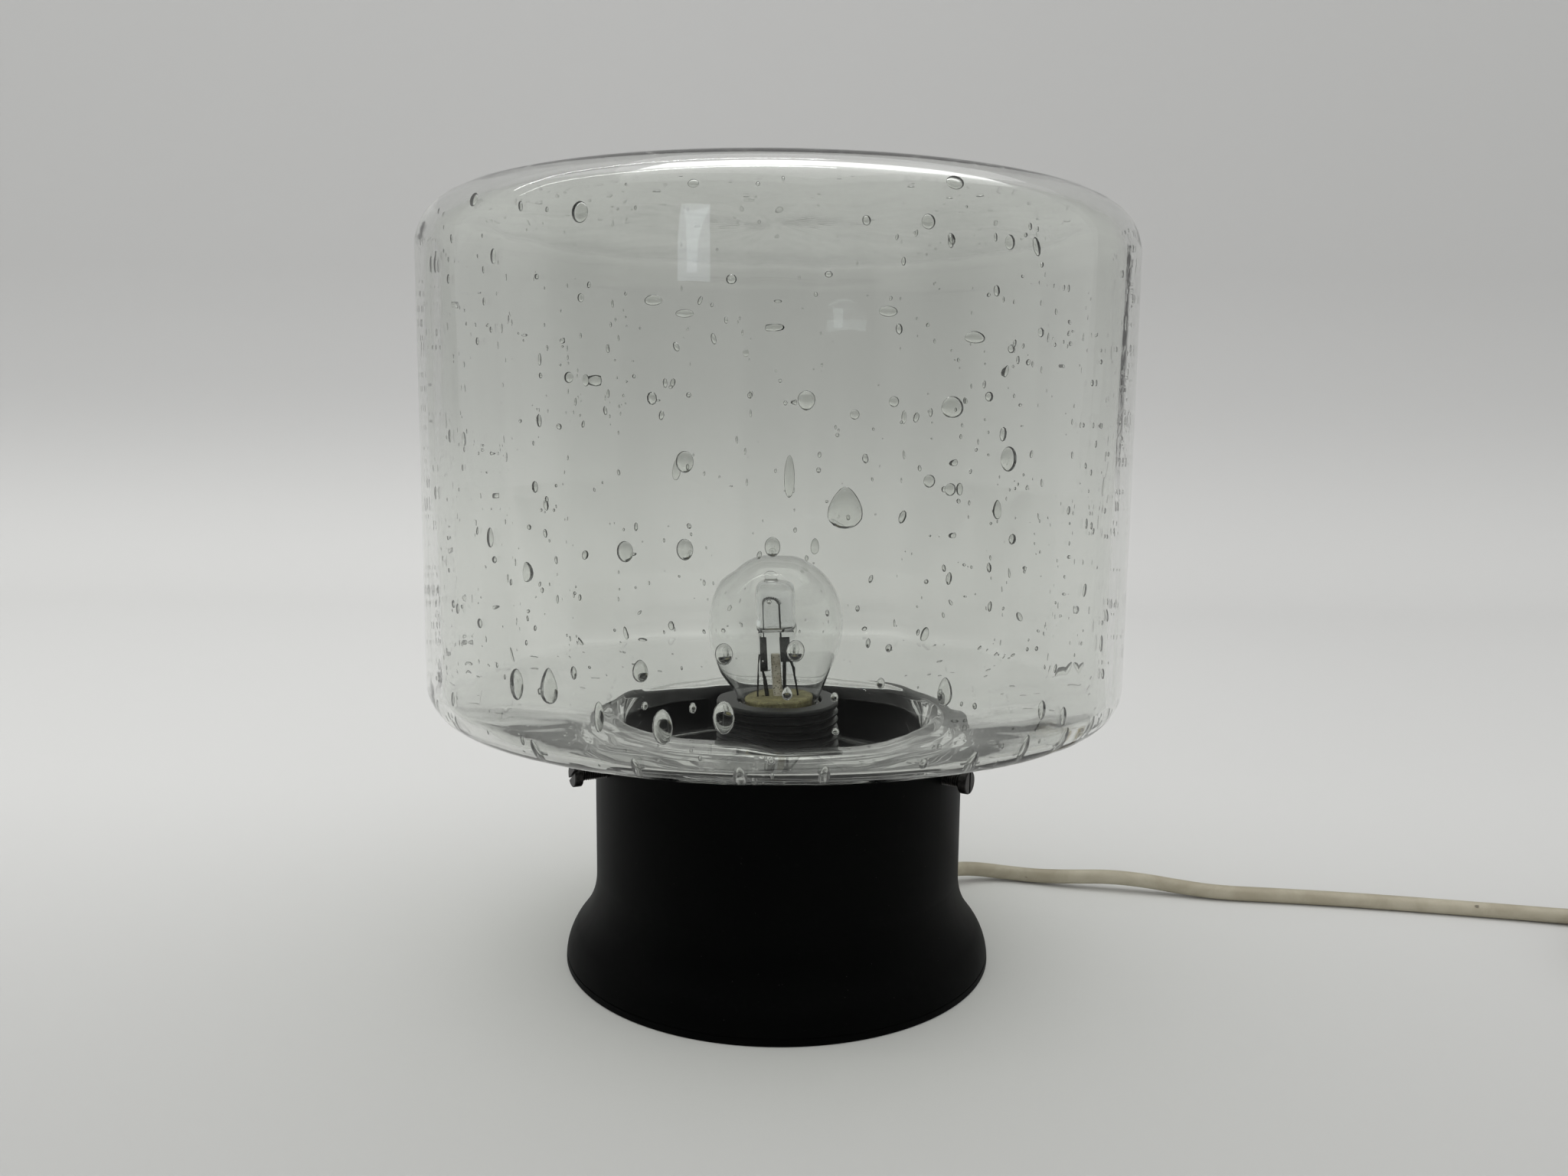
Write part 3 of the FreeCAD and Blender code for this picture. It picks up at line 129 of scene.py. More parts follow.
class Finish:
    def __init__(self, name, world=None):
        self.material = world or bpy.data.materials.new(name)
        self.material.use_nodes = True
        self.tree = self.material.node_tree
        self.tree.nodes.clear()
        self.surface = self.tree.nodes.new("ShaderNodeOutputWorld" if world else "ShaderNodeOutputMaterial")
        self.place = None

    def put(self, socket, value):
        if isinstance(value, Value):
            self.tree.links.new(value.socket, socket)
        elif isinstance(value, (tuple, list)) and len(value) == 3 and len(socket.default_value) == 4:
            socket.default_value = (*value, 1)
        else:
            socket.default_value = value

    def node(self, kind, settings, inputs, output=0):
        made = self.tree.nodes.new(kind)
        for name, value in settings.items():
            setattr(made, name, value)
        for name, value in inputs.items():
            self.put(made.inputs[name], value)
        return Value(self, made.outputs[output])

    def spot(self, stretch=(1, 1, 1)):
        if self.place is None:
            self.place = self.node("ShaderNodeTexCoord", {}, {}, "Object")
        if stretch == (1, 1, 1):
            return self.place
        return self.node("ShaderNodeMapping", {}, {"Vector": self.place, "Scale": stretch})

    def grain(self, scale, detail, roughness, distortion=0.0, stretch=(1, 1, 1)):
        inputs = {
            "Vector": self.spot(stretch),
            "Scale": scale,
            "Detail": detail,
            "Roughness": roughness,
            "Distortion": distortion,
        }
        return self.node("ShaderNodeTexNoise", {}, inputs)

    def cells(self, scale):
        return self.node("ShaderNodeTexVoronoi", {}, {"Vector": self.spot(), "Scale": scale})

    def blendColour(self, share, first, second):
        return self.node("ShaderNodeMix", {"data_type": "RGBA"}, {0: share, 6: first, 7: second}, 2)

    def bump(self, height, strength, distance):
        inputs = {"Height": height, "Strength": strength, "Distance": distance}
        return self.node("ShaderNodeBump", {}, inputs)

    def shader(self, inputs):
        return self.node("ShaderNodeBsdfPrincipled", {}, inputs)

    def done(self, shader):
        self.tree.links.new(shader.socket, self.surface.inputs["Surface"])
        return self.material


# Mesh helpers
def meshObject(name, source, smooth=True, sharpAngle=0):
    # sharpAngle, in degrees, keeps steeper edges sharp; 0 leaves the whole piece smooth
    mesh = bpy.data.meshes.new(name)
    source.to_mesh(mesh)
    source.free()
    for polygon in mesh.polygons:
        polygon.use_smooth = smooth
    made = bpy.data.objects.new(name, mesh)
    bpy.context.scene.collection.objects.link(made)
    if smooth and sharpAngle:
        mesh.set_sharp_from_angle(angle=math.radians(sharpAngle))
    return made


def outlineMesh(corners, arcSteps=8):
    # corners are (radius, height, fillet) in mm; each fillet is a bevel of its point
    source = bmesh.new()
    points = [Vector((r, 0, z)) for r, z, fillet in corners]
    verts = [source.verts.new(point * mm) for point in points]
    for pair in zip(verts, verts[1:]):
        source.edges.new(pair)
    for i, (r, z, fillet) in enumerate(corners):
        if not fillet:
            continue
        half = (points[i - 1] - points[i]).angle(points[i + 1] - points[i]) / 2
        steps = max(2, math.ceil(arcSteps * (math.pi - 2 * half) / (math.pi / 2)))
        bmesh.ops.bevel(
            source,
            geom=[verts[i]],
            offset=fillet * mm / math.tan(half),
            affect="VERTICES",
            segments=steps,
            profile=0.5,
            material=-1,
        )
    return source


def addArc(source, vert, centre, degrees, steps):
    # a point spun about an axis toward the viewer leaves an arc behind it
    bmesh.ops.spin(
        source,
        geom=[vert],
        cent=Vector(centre) * mm,
        axis=(0, 1, 0),
        angle=math.radians(degrees),
        steps=steps,
        use_duplicate=False,
    )


def cutEdges(source, longest):
    # extra points on the long stretches; longest gives the spacing in mm at an edge's middle
    for edge in list(source.edges):
        middle = (edge.verts[0].co + edge.verts[1].co) / 2 / mm
        cuts = int(edge.calc_length() / mm / longest(middle))
        if cuts:
            bmesh.ops.subdivide_edges(source, edges=[edge], cuts=cuts)


def spinRound(source, steps):
    bmesh.ops.spin(
        source,
        geom=source.verts[:] + source.edges[:],
        cent=(0, 0, 0),
        axis=(0, 0, 1),
        angle=math.tau,
        steps=steps,
        use_merge=True,
        use_duplicate=False,
    )
    bmesh.ops.remove_doubles(source, verts=source.verts, dist=1e-6)
    bmesh.ops.recalc_face_normals(source, faces=source.faces)
    return source


def joinMesh(source, other):
    spare = bpy.data.meshes.new("joined")
    other.to_mesh(spare)
    other.free()
    source.from_mesh(spare)
    bpy.data.meshes.remove(spare)


# Finishes
def creamPlastic():
    made = Finish("agedCreamPlastic")
    mottle = made.grain(55, 5, 0.6, 0.4)
    fine = made.grain(900, 3, 0.6)
    marks = made.grain(240, 2, 0.5, stretch=(0.5, 1, 1)).above(0.73, 0.02)
    base = made.blendColour(mottle.above(0.5, 0.16), (0.335, 0.30, 0.22), (0.44, 0.405, 0.315))
    worn = made.blendColour(marks * 0.75, base, (0.09, 0.075, 0.05))
    height = made.bump(fine + mottle * 2, 0.25, 0.0002)
    rough = mottle * 0.15 + 0.36
    return made.done(made.shader({"Base Color": worn, "Roughness": rough, "Normal": height, "IOR": 1.5}))


def blackSteel():
    made = Finish("satinBlackPaint")
    grit = made.grain(2200, 2, 0.6)
    cloud = made.grain(22, 5, 0.6)
    streak = made.grain(60, 3, 0.6, stretch=(1, 1, 0.12))
    dust = made.cells(700).below(0.055, 0.02) * made.grain(300, 2, 0.5).above(0.6, 0.05)
    base = made.blendColour(cloud.above(0.55, 0.25), (0.0006, 0.0008, 0.0008), (0.0014, 0.0016, 0.0015))
    dusty = made.blendColour(dust * 0.25, base, (0.30, 0.29, 0.27))
    rough = 0.40 + streak * 0.10 + cloud * 0.06
    inputs = {"Base Color": dusty, "Roughness": rough, "Normal": made.bump(grit, 0.2, 0.0001)}
    return made.done(made.shader({**inputs, "IOR": 1.46, "Specular IOR Level": 0.045}))


def blackBakelite():
    made = Finish("blackBakelite")
    cloud = made.grain(180, 4, 0.6)
    base = made.blendColour(cloud.above(0.5, 0.2), (0.0085, 0.0085, 0.0085), (0.014, 0.014, 0.014))
    rough = 0.26 + cloud * 0.08
    height = made.bump(cloud, 0.12, 0.0001)
    inputs = {"Base Color": base, "Roughness": rough, "Normal": height, "IOR": 1.55}
    return made.done(made.shader({**inputs, "Specular IOR Level": 0.26}))


def cementFinish(name, light, dark):
    made = Finish(name)
    cloud = made.grain(260, 5, 0.6)
    grains = made.cells(1500).below(0.28, 0.10)
    base = made.blendColour(cloud.above(0.5, 0.2), dark, light)
    speckled = made.blendColour(grains * 0.8, base, (0.04, 0.035, 0.02))
    inputs = {"Base Color": speckled, "Roughness": 0.6, "Normal": made.bump(grains, 0.3, 0.0002)}
    return made.done(made.shader(inputs))


def metal(name, light, dark, roughness, scale):
    made = Finish(name)
    wear = made.grain(scale, 5, 0.62)
    base = made.blendColour(wear.above(0.5, 0.2), dark, light)
    rough = wear * 0.25 + (roughness - 0.12)
    height = made.bump(wear, 0.12, 0.00008)
    inputs = {"Base Color": base, "Roughness": rough, "Normal": height, "Metallic": 1.0}
    return made.done(made.shader(inputs))


def plain(name, light, dark, roughness):
    made = Finish(name)
    cloud = made.grain(250, 4, 0.55)
    base = made.blendColour(cloud.above(0.5, 0.25), dark, light)
    rough = cloud * 0.16 + (roughness - 0.08)
    height = made.bump(cloud, 0.12, 0.0001)
    return made.done(made.shader({"Base Color": base, "Roughness": rough, "Normal": height, "IOR": 1.5}))


def glass(name, tint, ior, shadowTint, bands=None):
    # light from the lamps, and light bounced off the floor, passes straight through;
    # bands is the deeper tint of faint upright bands, where the glass isn't quite even
    made = Finish(name)
    colour = tint
    if bands:
        upright = made.grain(30, 3, 0.55, stretch=(1, 1, 0.1)).above(0.5, 0.16)
        colour = made.blendColour(upright, bands, tint)
    body = made.shader({"Base Color": colour, "Roughness": 0.0, "IOR": ior, "Transmission Weight": 1.0})
    clear = made.node("ShaderNodeBsdfTransparent", {}, {"Color": shadowTint})
    bounced = made.node("ShaderNodeLightPath", {}, {}, "Is Diffuse Ray")
    fromLamp = made.node("ShaderNodeLightPath", {}, {}, "Is Shadow Ray")
    soft = made.node("ShaderNodeMixShader", {}, {0: bounced, 1: body, 2: clear})
    return made.done(made.node("ShaderNodeMixShader", {}, {0: fromLamp, 1: soft, 2: clear}))


finishes = {
    "black_satin_steel": blackSteel(),
    "zinc_screw_steel": metal("darkScrewSteel", (0.055, 0.052, 0.050), (0.018, 0.017, 0.017), 0.40, 900),
    "bubbled_glass": glass(
        "bubbledGlass", (0.905, 0.917, 0.895), 1.5, (0.90, 0.91, 0.89), bands=(0.86, 0.873, 0.85)
    ),
    "zinc_strap_steel": metal("zincStrapSteel", (0.62, 0.62, 0.60), (0.42, 0.42, 0.41), 0.42, 500),
    "brass": metal("brightBrass", (0.72, 0.55, 0.28), (0.52, 0.38, 0.18), 0.34, 600),
    "black_bakelite": blackBakelite(),
    "white_porcelain": plain("whitePorcelain", (0.80, 0.79, 0.75), (0.70, 0.69, 0.64), 0.25),
    "nickel_cap": metal("nickelPlate", (0.72, 0.70, 0.65), (0.52, 0.50, 0.46), 0.28, 700),
    "black_glass": plain("blackGlass", (0.02, 0.02, 0.022), (0.008, 0.008, 0.008), 0.16),
    "solder": metal("dullSolder", (0.55, 0.55, 0.54), (0.35, 0.35, 0.35), 0.48, 900),
    "clear_glass": glass("clearBulbGlass", (0.97, 0.975, 0.97), 1.47, (0.95, 0.95, 0.95)),
    "cream_cement": cementFinish("speckledCement", (0.30, 0.27, 0.13), (0.12, 0.105, 0.045)),
    "speckled_stem": cementFinish("speckledStem", (0.62, 0.58, 0.50), (0.36, 0.32, 0.25)),
    "quartz": glass("quartz", (0.96, 0.965, 0.97), 1.46, (0.93, 0.93, 0.93)),
    "tungsten": metal("tungsten", (0.12, 0.12, 0.12), (0.06, 0.06, 0.06), 0.45, 2500),
    "nickel_wire": metal("darkWire", (0.10, 0.10, 0.10), (0.04, 0.04, 0.04), 0.40, 2500),
    "cream_pvc": creamPlastic(),
    "brown_insulation": plain("brownInsulation", (0.15, 0.065, 0.03), (0.10, 0.045, 0.02), 0.42),
    "blue_insulation": plain("blueInsulation", (0.03, 0.13, 0.42), (0.02, 0.09, 0.32), 0.42),
    "white_nylon": plain("whiteNylon", (0.74, 0.74, 0.70), (0.64, 0.64, 0.60), 0.42),
    "clear_strap": plain("milkyStrap", (0.66, 0.64, 0.56), (0.56, 0.54, 0.46), 0.38),
    "black_sleeve": plain("blackSleeve", (0.02, 0.02, 0.02), (0.01, 0.01, 0.01), 0.4),
}


def finishPiece(piece, slot):
    piece.data.materials.clear()
    piece.data.materials.append(finishes[slot])


for row in frame["record"]["subparts"]:
    finishPiece(nodes[row["node"]], row["material_slot"])
print("finishes set")


def addPiece(piece, slot, body, *replaced):
    finishPiece(piece, slot)
    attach(piece, body)
    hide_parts(*replaced)
    return piece


# Mains lead: its route and its coil, all on one curve
lead = {
    "diameter": 5.2,  # mm
    "exitAngle": 41.5,  # degrees round the canopy
    "exitRadius": 75.6,
    "exitHeight": 6.4,
    "lastRun": 14.0,
    "coilPitch": 5.75,
    "coilRadius": 31.0,  # at the middle of the turns
    "coilTurns": 7.2,
    "coilHeading": -14.6,  # degrees, where the lead comes to it
    "coilPoints": 90,
    "freeLength": 1.64,  # metres, from the canopy to the plug
    "withNodes": ("cord_tie", "plug_boot", "plug_body", "plug_pins", "plug_pin_sleeves"),
}
# the free lead from the canopy to the coil, in mm
leadPoints = [
    (63.93, 56.56, 5.563),
    (73.1, 60.4, 4.3),
    (83.6, 61.0, 2.9),
    (95.2, 58.2, 2.7),
    (107.5, 55.0, 3.8),
    (120.5, 53.0, 4.9),
    (133.0, 50.5, 4.6),
    (145.5, 48.0, 3.3),
    (158.0, 44.8, 2.65),
    (176.0, 43.3, 2.6),
    (199.0, 40.7, 2.6),
    (226.0, 36.5, 2.6),
    (252.0, 31.9, 2.6),
    (274.0, 27.3, 2.8),
    (292.0, 22.9, 3.7),
]


def around(radius, angle, height=0.0):
    return Vector((radius * math.cos(angle), radius * math.sin(angle), height))


def coilRoute():
    # two layers: the lower spirals in, the upper spirals out again
    pitch = lead["coilPitch"]
    layer = (lead["coilTurns"] - 0.5) / 2
    outer = lead["coilRadius"] + pitch * layer / 2
    inner = outer - pitch * layer
    rate = pitch / math.tau
    heading = math.radians(lead["coilHeading"])
    startAngle = heading + math.pi / 2 + math.atan2(rate, outer)
    low = leadPoints[-1][2]
    first = Vector(leadPoints[-1]) + around(lead["lastRun"] + lead["diameter"], heading)
    hub = first - around(outer, startAngle, low)

    def state(turn):
        if turn <= layer:
            return outer - pitch * turn, 0
        if turn >= layer + 0.5:
            return inner + pitch * (turn - layer - 0.5), pitch
        part = (turn - layer) * 2
        dip = rate * math.pi * (part - part**2)
        return inner - dip, pitch * (3 * part**2 - 2 * part**3)

    step = lead["coilTurns"] / lead["coilPoints"]
    widen = 1 / math.cos(math.pi * step)
    points = []
    for i in range(lead["coilPoints"]):
        turn = (i + 0.5) * step
        radius, rise = state(turn)
        points.append(hub + around(radius * widen, startAngle - math.tau * turn, low + rise))
    lastRadius, lastRise = state(lead["coilTurns"])
    lastAngle = startAngle - math.tau * lead["coilTurns"]
    last = hub + around(lastRadius, lastAngle, low + lastRise)
    onward = around(lastRadius, lastAngle - math.pi / 2) + around(rate, lastAngle)
    points.append(last + onward.normalized() * lead["diameter"])
    return points


def curveObject(name, points, radius, bevelSteps=6, resolution=8):
    data = bpy.data.curves.new(name, "CURVE")
    data.dimensions = "3D"
    data.bevel_depth = radius * mm
    data.bevel_resolution = bevelSteps
    data.resolution_u = resolution
    data.use_fill_caps = True
    spline = data.splines.new("NURBS")
    spline.points.add(len(points) - 1)
    for target, point in zip(spline.points, points):
        target.co = (*(Vector(point) * mm), 1)
    spline.order_u = 3
    spline.use_endpoint_u = True
    made = bpy.data.objects.new(name, data)
    bpy.context.scene.collection.objects.link(made)
    return made


def makeLead():
    angle = math.radians(lead["exitAngle"])
    leadExit = around(lead["exitRadius"], angle, lead["exitHeight"])
    route = [leadExit] + [Vector(point) for point in leadPoints] + coilRoute()
    piece = curveObject("mainsLead", route, lead["diameter"] / 2)
    addPiece(piece, "cream_pvc", "base", "cord_lead", "cord_coil")


makeLead()
print("mains lead made")


# Glass drum
drum = {
    "offset": -1.4,  # mm along X
    "radius": 106.5,
    "floorAngle": 11.0,  # degrees
    "top": 231.1,
    "wall": 3.5,
    "topWall": 3.7,
    "floorWall": 3.1,  # at the rim
    "floorRootWall": 6.2,  # at the neck
    "topFillet": 14.3,
    "bottomFillet": 9.5,
    "innerTopFillet": 10.8,
    "innerBottomFillet": 6.0,
    "neckRadius": 54.6,
    "neckWall": 8.4,
    "neckBottom": 58.0,
    "lipFillet": 7.0,
    "seat": 74.4,  # height of the dished floor above the canopy's rim
    "seatRadius": 55.0,
    "ringSteps": 200,
    "wallSpacing": 4.0,  # of the points up the wall
    "floorSpacing": 1.6,
    "innerRipple": 0.26,
    "outerRipple": 0.09,
    "topRipple": 0.3,  # of the ripple, at the shoulder and the top
    "streaks": 0.10,  # round the inside of the floor
    "trueWithin": 52.0,  # the neck, inside this radius and below this height, isn't rippled
    "trueBelow": 200.0,
    "wallLow": 95.0,  # the upright ripples run between these heights
    "wallHigh": 215.0,
    "wallFrom": 90.0,  # and outside this radius
}


def drumFloor(radius):
    slope = math.tan(math.radians(drum["floorAngle"]))
    return drum["seat"] + slope * (radius - drum["seatRadius"])


def drumOutline():
    outer = drum["radius"]
    inner = outer - drum["wall"]
    neck = drum["neckRadius"]
    bore = neck - drum["neckWall"]
    slant = math.cos(math.radians(drum["floorAngle"]))
    source = outlineMesh(
        [
            (0, drum["top"], 0),
            (outer, drum["top"], drum["topFillet"]),
            (outer, drumFloor(outer), drum["bottomFillet"]),
            (neck, drumFloor(neck), 0.8),
            (neck, drum["neckBottom"], 2.0),
            (bore, drum["neckBottom"], 2.0),
            (bore, drumFloor(bore) + drum["floorRootWall"] / slant, drum["lipFillet"]),
            (inner, drumFloor(inner) + drum["floorWall"] / slant, drum["innerBottomFillet"]),
            (inner, drum["top"] - drum["topWall"], drum["innerTopFillet"]),
            (0, drum["top"] - drum["topWall"], 0),
        ]
    )

    def spacing(middle):
        onFloor = middle.x > neck and drumFloor(middle.x) + 1.5 < middle.z < drumFloor(middle.x) + 8
        return drum["floorSpacing"] if onFloor else drum["wallSpacing"]

    cutEdges(source, spacing)
    return source


def wave(x, y, z):
    return noise.noise(Vector((x, y, z)))


def wallRipple(across, height):
    # three sizes of ripple, which change faster round the wall than up it
    ripple = wave(across.x * 7, across.y * 7, height * 9)
    ripple += 0.6 * wave(across.x * 19, across.y * 19, height * 14)
    return ripple + 0.24 * wave(across.x * 46, across.y * 46, height * 16)


def floorRipple(arm, across, radius):
    ripple = noise.noise(arm * 55)
    return ripple + 0.5 * wave(across.x * 14, across.y * 14, radius * 60)


def floorStreak(across, radius):
    streak = wave(radius * 270, across.x * 2.4, across.y * 2.4)
    return streak + 0.6 * wave(radius * 520, across.x * 5, across.y * 5)


def unevenWall(source):
    # blown glass is uneven: upright ripples in the wall, streaks round the floor, less of both outside
    middle = Vector((drum["offset"] * mm, 0, 0))
    inner = (drum["radius"] - drum["wall"]) * mm
    low, high = drum["wallLow"] * mm, drum["wallHigh"] * mm
    source.normal_update()
    shifts = []
    for vert in source.verts:
        arm = vert.co - middle
        radius = math.hypot(arm.x, arm.y)
        if radius < drum["trueWithin"] * mm and arm.z < drum["trueBelow"] * mm:
            shifts.append(0)
            continue
        across = Vector((arm.x, arm.y, 0)) / max(radius, 1e-6)
        inside = abs(radius - inner) < 0.0015 or vert.normal.z * (0.15 - arm.z) > 0.3
        if radius > drum["wallFrom"] * mm and low < arm.z < high:
            ripple = wallRipple(across, arm.z)
        else:
            ripple = floorRipple(arm, across, radius)
            ripple *= 1 if arm.z < 0.15 else drum["topRipple"]
        # the outside sinks a little, to stay inside its own outline
        shift = ripple * drum["innerRipple"] if inside else (ripple - 1.6) * drum["outerRipple"]
        if inside and arm.z < low:
            shift += floorStreak(across, radius) * drum["streaks"]
        shifts.append(shift * mm)
    for vert, shift in zip(source.verts, shifts):
        vert.co += vert.normal * shift


def wallRadius(height):
    # the middle of the wall, which turns in at the shoulder
    middle = drum["radius"] - drum["wall"] / 2
    bend = drum["topFillet"] - drum["wall"] / 2
    over = height - (drum["top"] - drum["topFillet"])
    if over > 0:
        return middle - bend + math.sqrt(max(bend**2 - over**2, 0))
    return middle


class BubbleCloud:
    # air cells in the glass: closed little skins whose faces look inward
    def __init__(self):
        self.cells = bmesh.new()
        self.balls = {name: self.makeBall(name) for name in ("small", "large")}
        self.spare = bpy.data.meshes.new("airCell")

    def makeBall(self, name):
        source = bmesh.new()
        if name == "large":
            bmesh.ops.create_icosphere(source, subdivisions=3, radius=0.5)
        else:
            bmesh.ops.create_uvsphere(source, u_segments=8, v_segments=5, radius=0.5)
        bmesh.ops.reverse_faces(source, faces=source.faces)
        ball = bpy.data.meshes.new(name + "Ball")
        source.to_mesh(ball)
        source.free()
        return ball

    def add(self, centre, turn, size, thick, tilt=0.0, lean=0.0, taper=0.0, ball="small"):
        # size is across and up, thick is through the wall
        source = bmesh.new()
        source.from_mesh(self.balls[ball])
        for vert in source.verts:
            vert.co.x *= 1 - taper * vert.co.z
        placed = Matrix.Translation(centre) @ Matrix.Rotation(turn, 4, "Z") @ Matrix.Rotation(lean, 4, "X")
        sides = Matrix.Diagonal((size[0] * mm, thick * mm, size[1] * mm, 1))
        placed = placed @ Matrix.Rotation(tilt, 4, "Y") @ sides
        bmesh.ops.transform(source, matrix=placed, verts=source.verts)
        source.to_mesh(self.spare)
        source.free()
        self.cells.from_mesh(self.spare)

    def addTo(self, source):
        joinMesh(source, self.cells)
        for mesh in (self.spare, *self.balls.values()):
            bpy.data.meshes.remove(mesh)


def wallSpot(degrees, height, depth=0.0):
    turn = math.radians(degrees)
    radius = (wallRadius(height) + depth) * mm
    spot = Vector((drum["offset"] * mm + radius * math.sin(turn), -radius * math.cos(turn), height * mm))
    return spot, turn


def cornerSpot(degrees, bend):
    # in the lower corner, where the wall turns under; bend is 0 at the wall and 90 at the floor
    turn = math.radians(degrees)
    lean = math.radians(bend)
    fillet = drum["bottomFillet"]
    hubRadius = drum["radius"] - fillet
    hubHeight = drumFloor(hubRadius) + fillet / math.cos(math.radians(drum["floorAngle"]))
    reach = fillet - drum["wall"] / 2
    radius = hubRadius + reach * math.cos(lean)
    height = hubHeight - reach * math.sin(lean)
    spot = Vector((drum["offset"] + radius * math.sin(turn), -radius * math.cos(turn), height)) * mm
    return spot, turn, lean


def floorSpot(degrees, radius, depth):
    turn = math.radians(degrees)
    height = drumFloor(radius) + drum["floorWall"] * depth
    spot = Vector((radius * math.sin(turn), -radius * math.cos(turn), height)) * mm
    return spot + Vector((drum["offset"] * mm, 0, 0)), turn


bubbles = {
    "seed": 11,
    "inWall": 1000,
    "inCorner": 110,
    "inFloor": 90,
    "inTop": 90,
    "middleSize": 0.92,  # mm across
    "sideSpread": 48,  # degrees about each side
    "wallHeights": (95, 222),
    "wallDepth": 0.8,  # either way from the wall's middle
    "floorRadii": (60, 96),
    "topRadius": 92,
    "layer": (0.35, 0.65),  # how deep they lie in the floor and the top, as a share
}
# degrees to the right of the viewer, bend under (0 wall, 90 floor), width, length, taper
cornerBubbles = [
    (-62, 30, 3.0, 7.5, 0.2),
    (-54, 42, 2.6, 6.0, 0.2),
    (-33, 36, 3.2, 8.0, 0.3),
    (-17, 40, 2.6, 7.0, 0),
    (-3, 44, 3.4, 7.0, 0.3),
    (8, 40, 2.8, 6.5, 0.2),
    (29, 38, 3.6, 8.0, 0.3),
    (38, 26, 3.0, 8.5, 0),
    (47, 30, 3.4, 8.0, 0.2),
    (55, 24, 2.8, 7.0, 0),
    (64, 30, 2.6, 6.0, 0.2),
    (102, 34, 3.2, 7.5, 0.2),
    (146, 30, 3.0, 7.0, 0),
    (178, 38, 3.4, 8.0, 0.3),
    (215, 32, 2.8, 6.5, 0.2),
    (251, 36, 3.2, 7.5, 0),
]
# degrees to the right of the viewer, height, width, tall, taper upward
largeBubbles = [
    (-44, 222, 3.4, 3.4, 0),
    (-24, 216, 4.4, 4.8, 0),
    (-9, 221, 2.6, 1.8, 0),
    (-57, 209, 2.4, 4.2, 0),
    (-39, 208, 2.2, 3.6, 0),
    (-24, 197, 1.8, 2.0, 0),
    (-14, 196, 4.2, 2.4, 0.2),
    (-10, 193, 4.2, 1.8, 0),
    (32, 211, 3.0, 3.5, 0),
    (20, 214, 3.4, 3.4, 0),
    (24, 223, 4.6, 3.2, 0),
    (15, 194, 4.4, 2.4, 0),
    (27, 189, 5.6, 2.8, 0.3),
    (38, 191, 2.0, 2.2, 0),
    (24, 173, 5.8, 5.0, 0.2),
    (5, 174, 4.0, 4.4, -0.2),
    (-10, 160, 4.2, 5.0, 0),
    (3, 157, 2.4, 9.6, 0.2),
    (10, 150, 7.8, 9.6, 0.7),
    (33, 161, 5.0, 6.0, 0),
    (21, 156, 3.0, 3.0, 0),
    (24, 154, 3.0, 3.0, 0),
    (-18, 139, 4.2, 5.0, 0),
    (-10, 140, 4.0, 5.0, 0),
    (-41, 140, 2.8, 5.0, 0.2),
    (-26, 179, 2.6, 2.6, 0),
    (16, 174, 2.4, 2.4, 0),
    (11, 171, 2.2, 2.2, 0),
    (1, 141, 3.6, 4.6, 0),
    (-36, 104, 5.0, 8.0, 0),
    (-30, 105, 5.4, 9.0, 0.7),
    (-16, 111, 4.0, 5.4, 0.3),
    (-13, 98, 5.0, 8.6, 0.1),
    (-22, 99, 2.8, 7.6, 0),
    (-5, 101, 5.0, 8.0, 0),
    (24, 106, 4.0, 7.0, 0.5),
    (15, 109, 2.0, 2.6, 0),
    (41, 98, 3.0, 5.0, 0),
    (46, 95, 3.0, 5.0, 0),
    (-5, 116, 4.2, 5.2, 0),
    (4, 117, 4.2, 5.2, 0),
    (3, 107, 2.4, 3.2, 0.3),
    (9, 106, 1.8, 2.4, 0),
    (62, 196, 2.2, 4.4, 0),
    (76, 170, 3.0, 5.2, 0),
    (95, 150, 4.4, 6.2, 0.3),
    (118, 188, 3.4, 2.4, 0),
    (131, 139, 5.4, 7.2, 0.5),
    (152, 172, 3.8, 5.2, 0),
    (173, 121, 4.0, 6.4, 0.2),
    (188, 196, 4.6, 3.0, 0),
    (204, 151, 3.0, 8.4, 0.2),
    (223, 184, 3.6, 4.4, 0),
    (241, 116, 4.6, 7.4, 0.4),
    (262, 163, 3.2, 4.6, 0),
    (281, 201, 2.8, 3.6, 0),
]


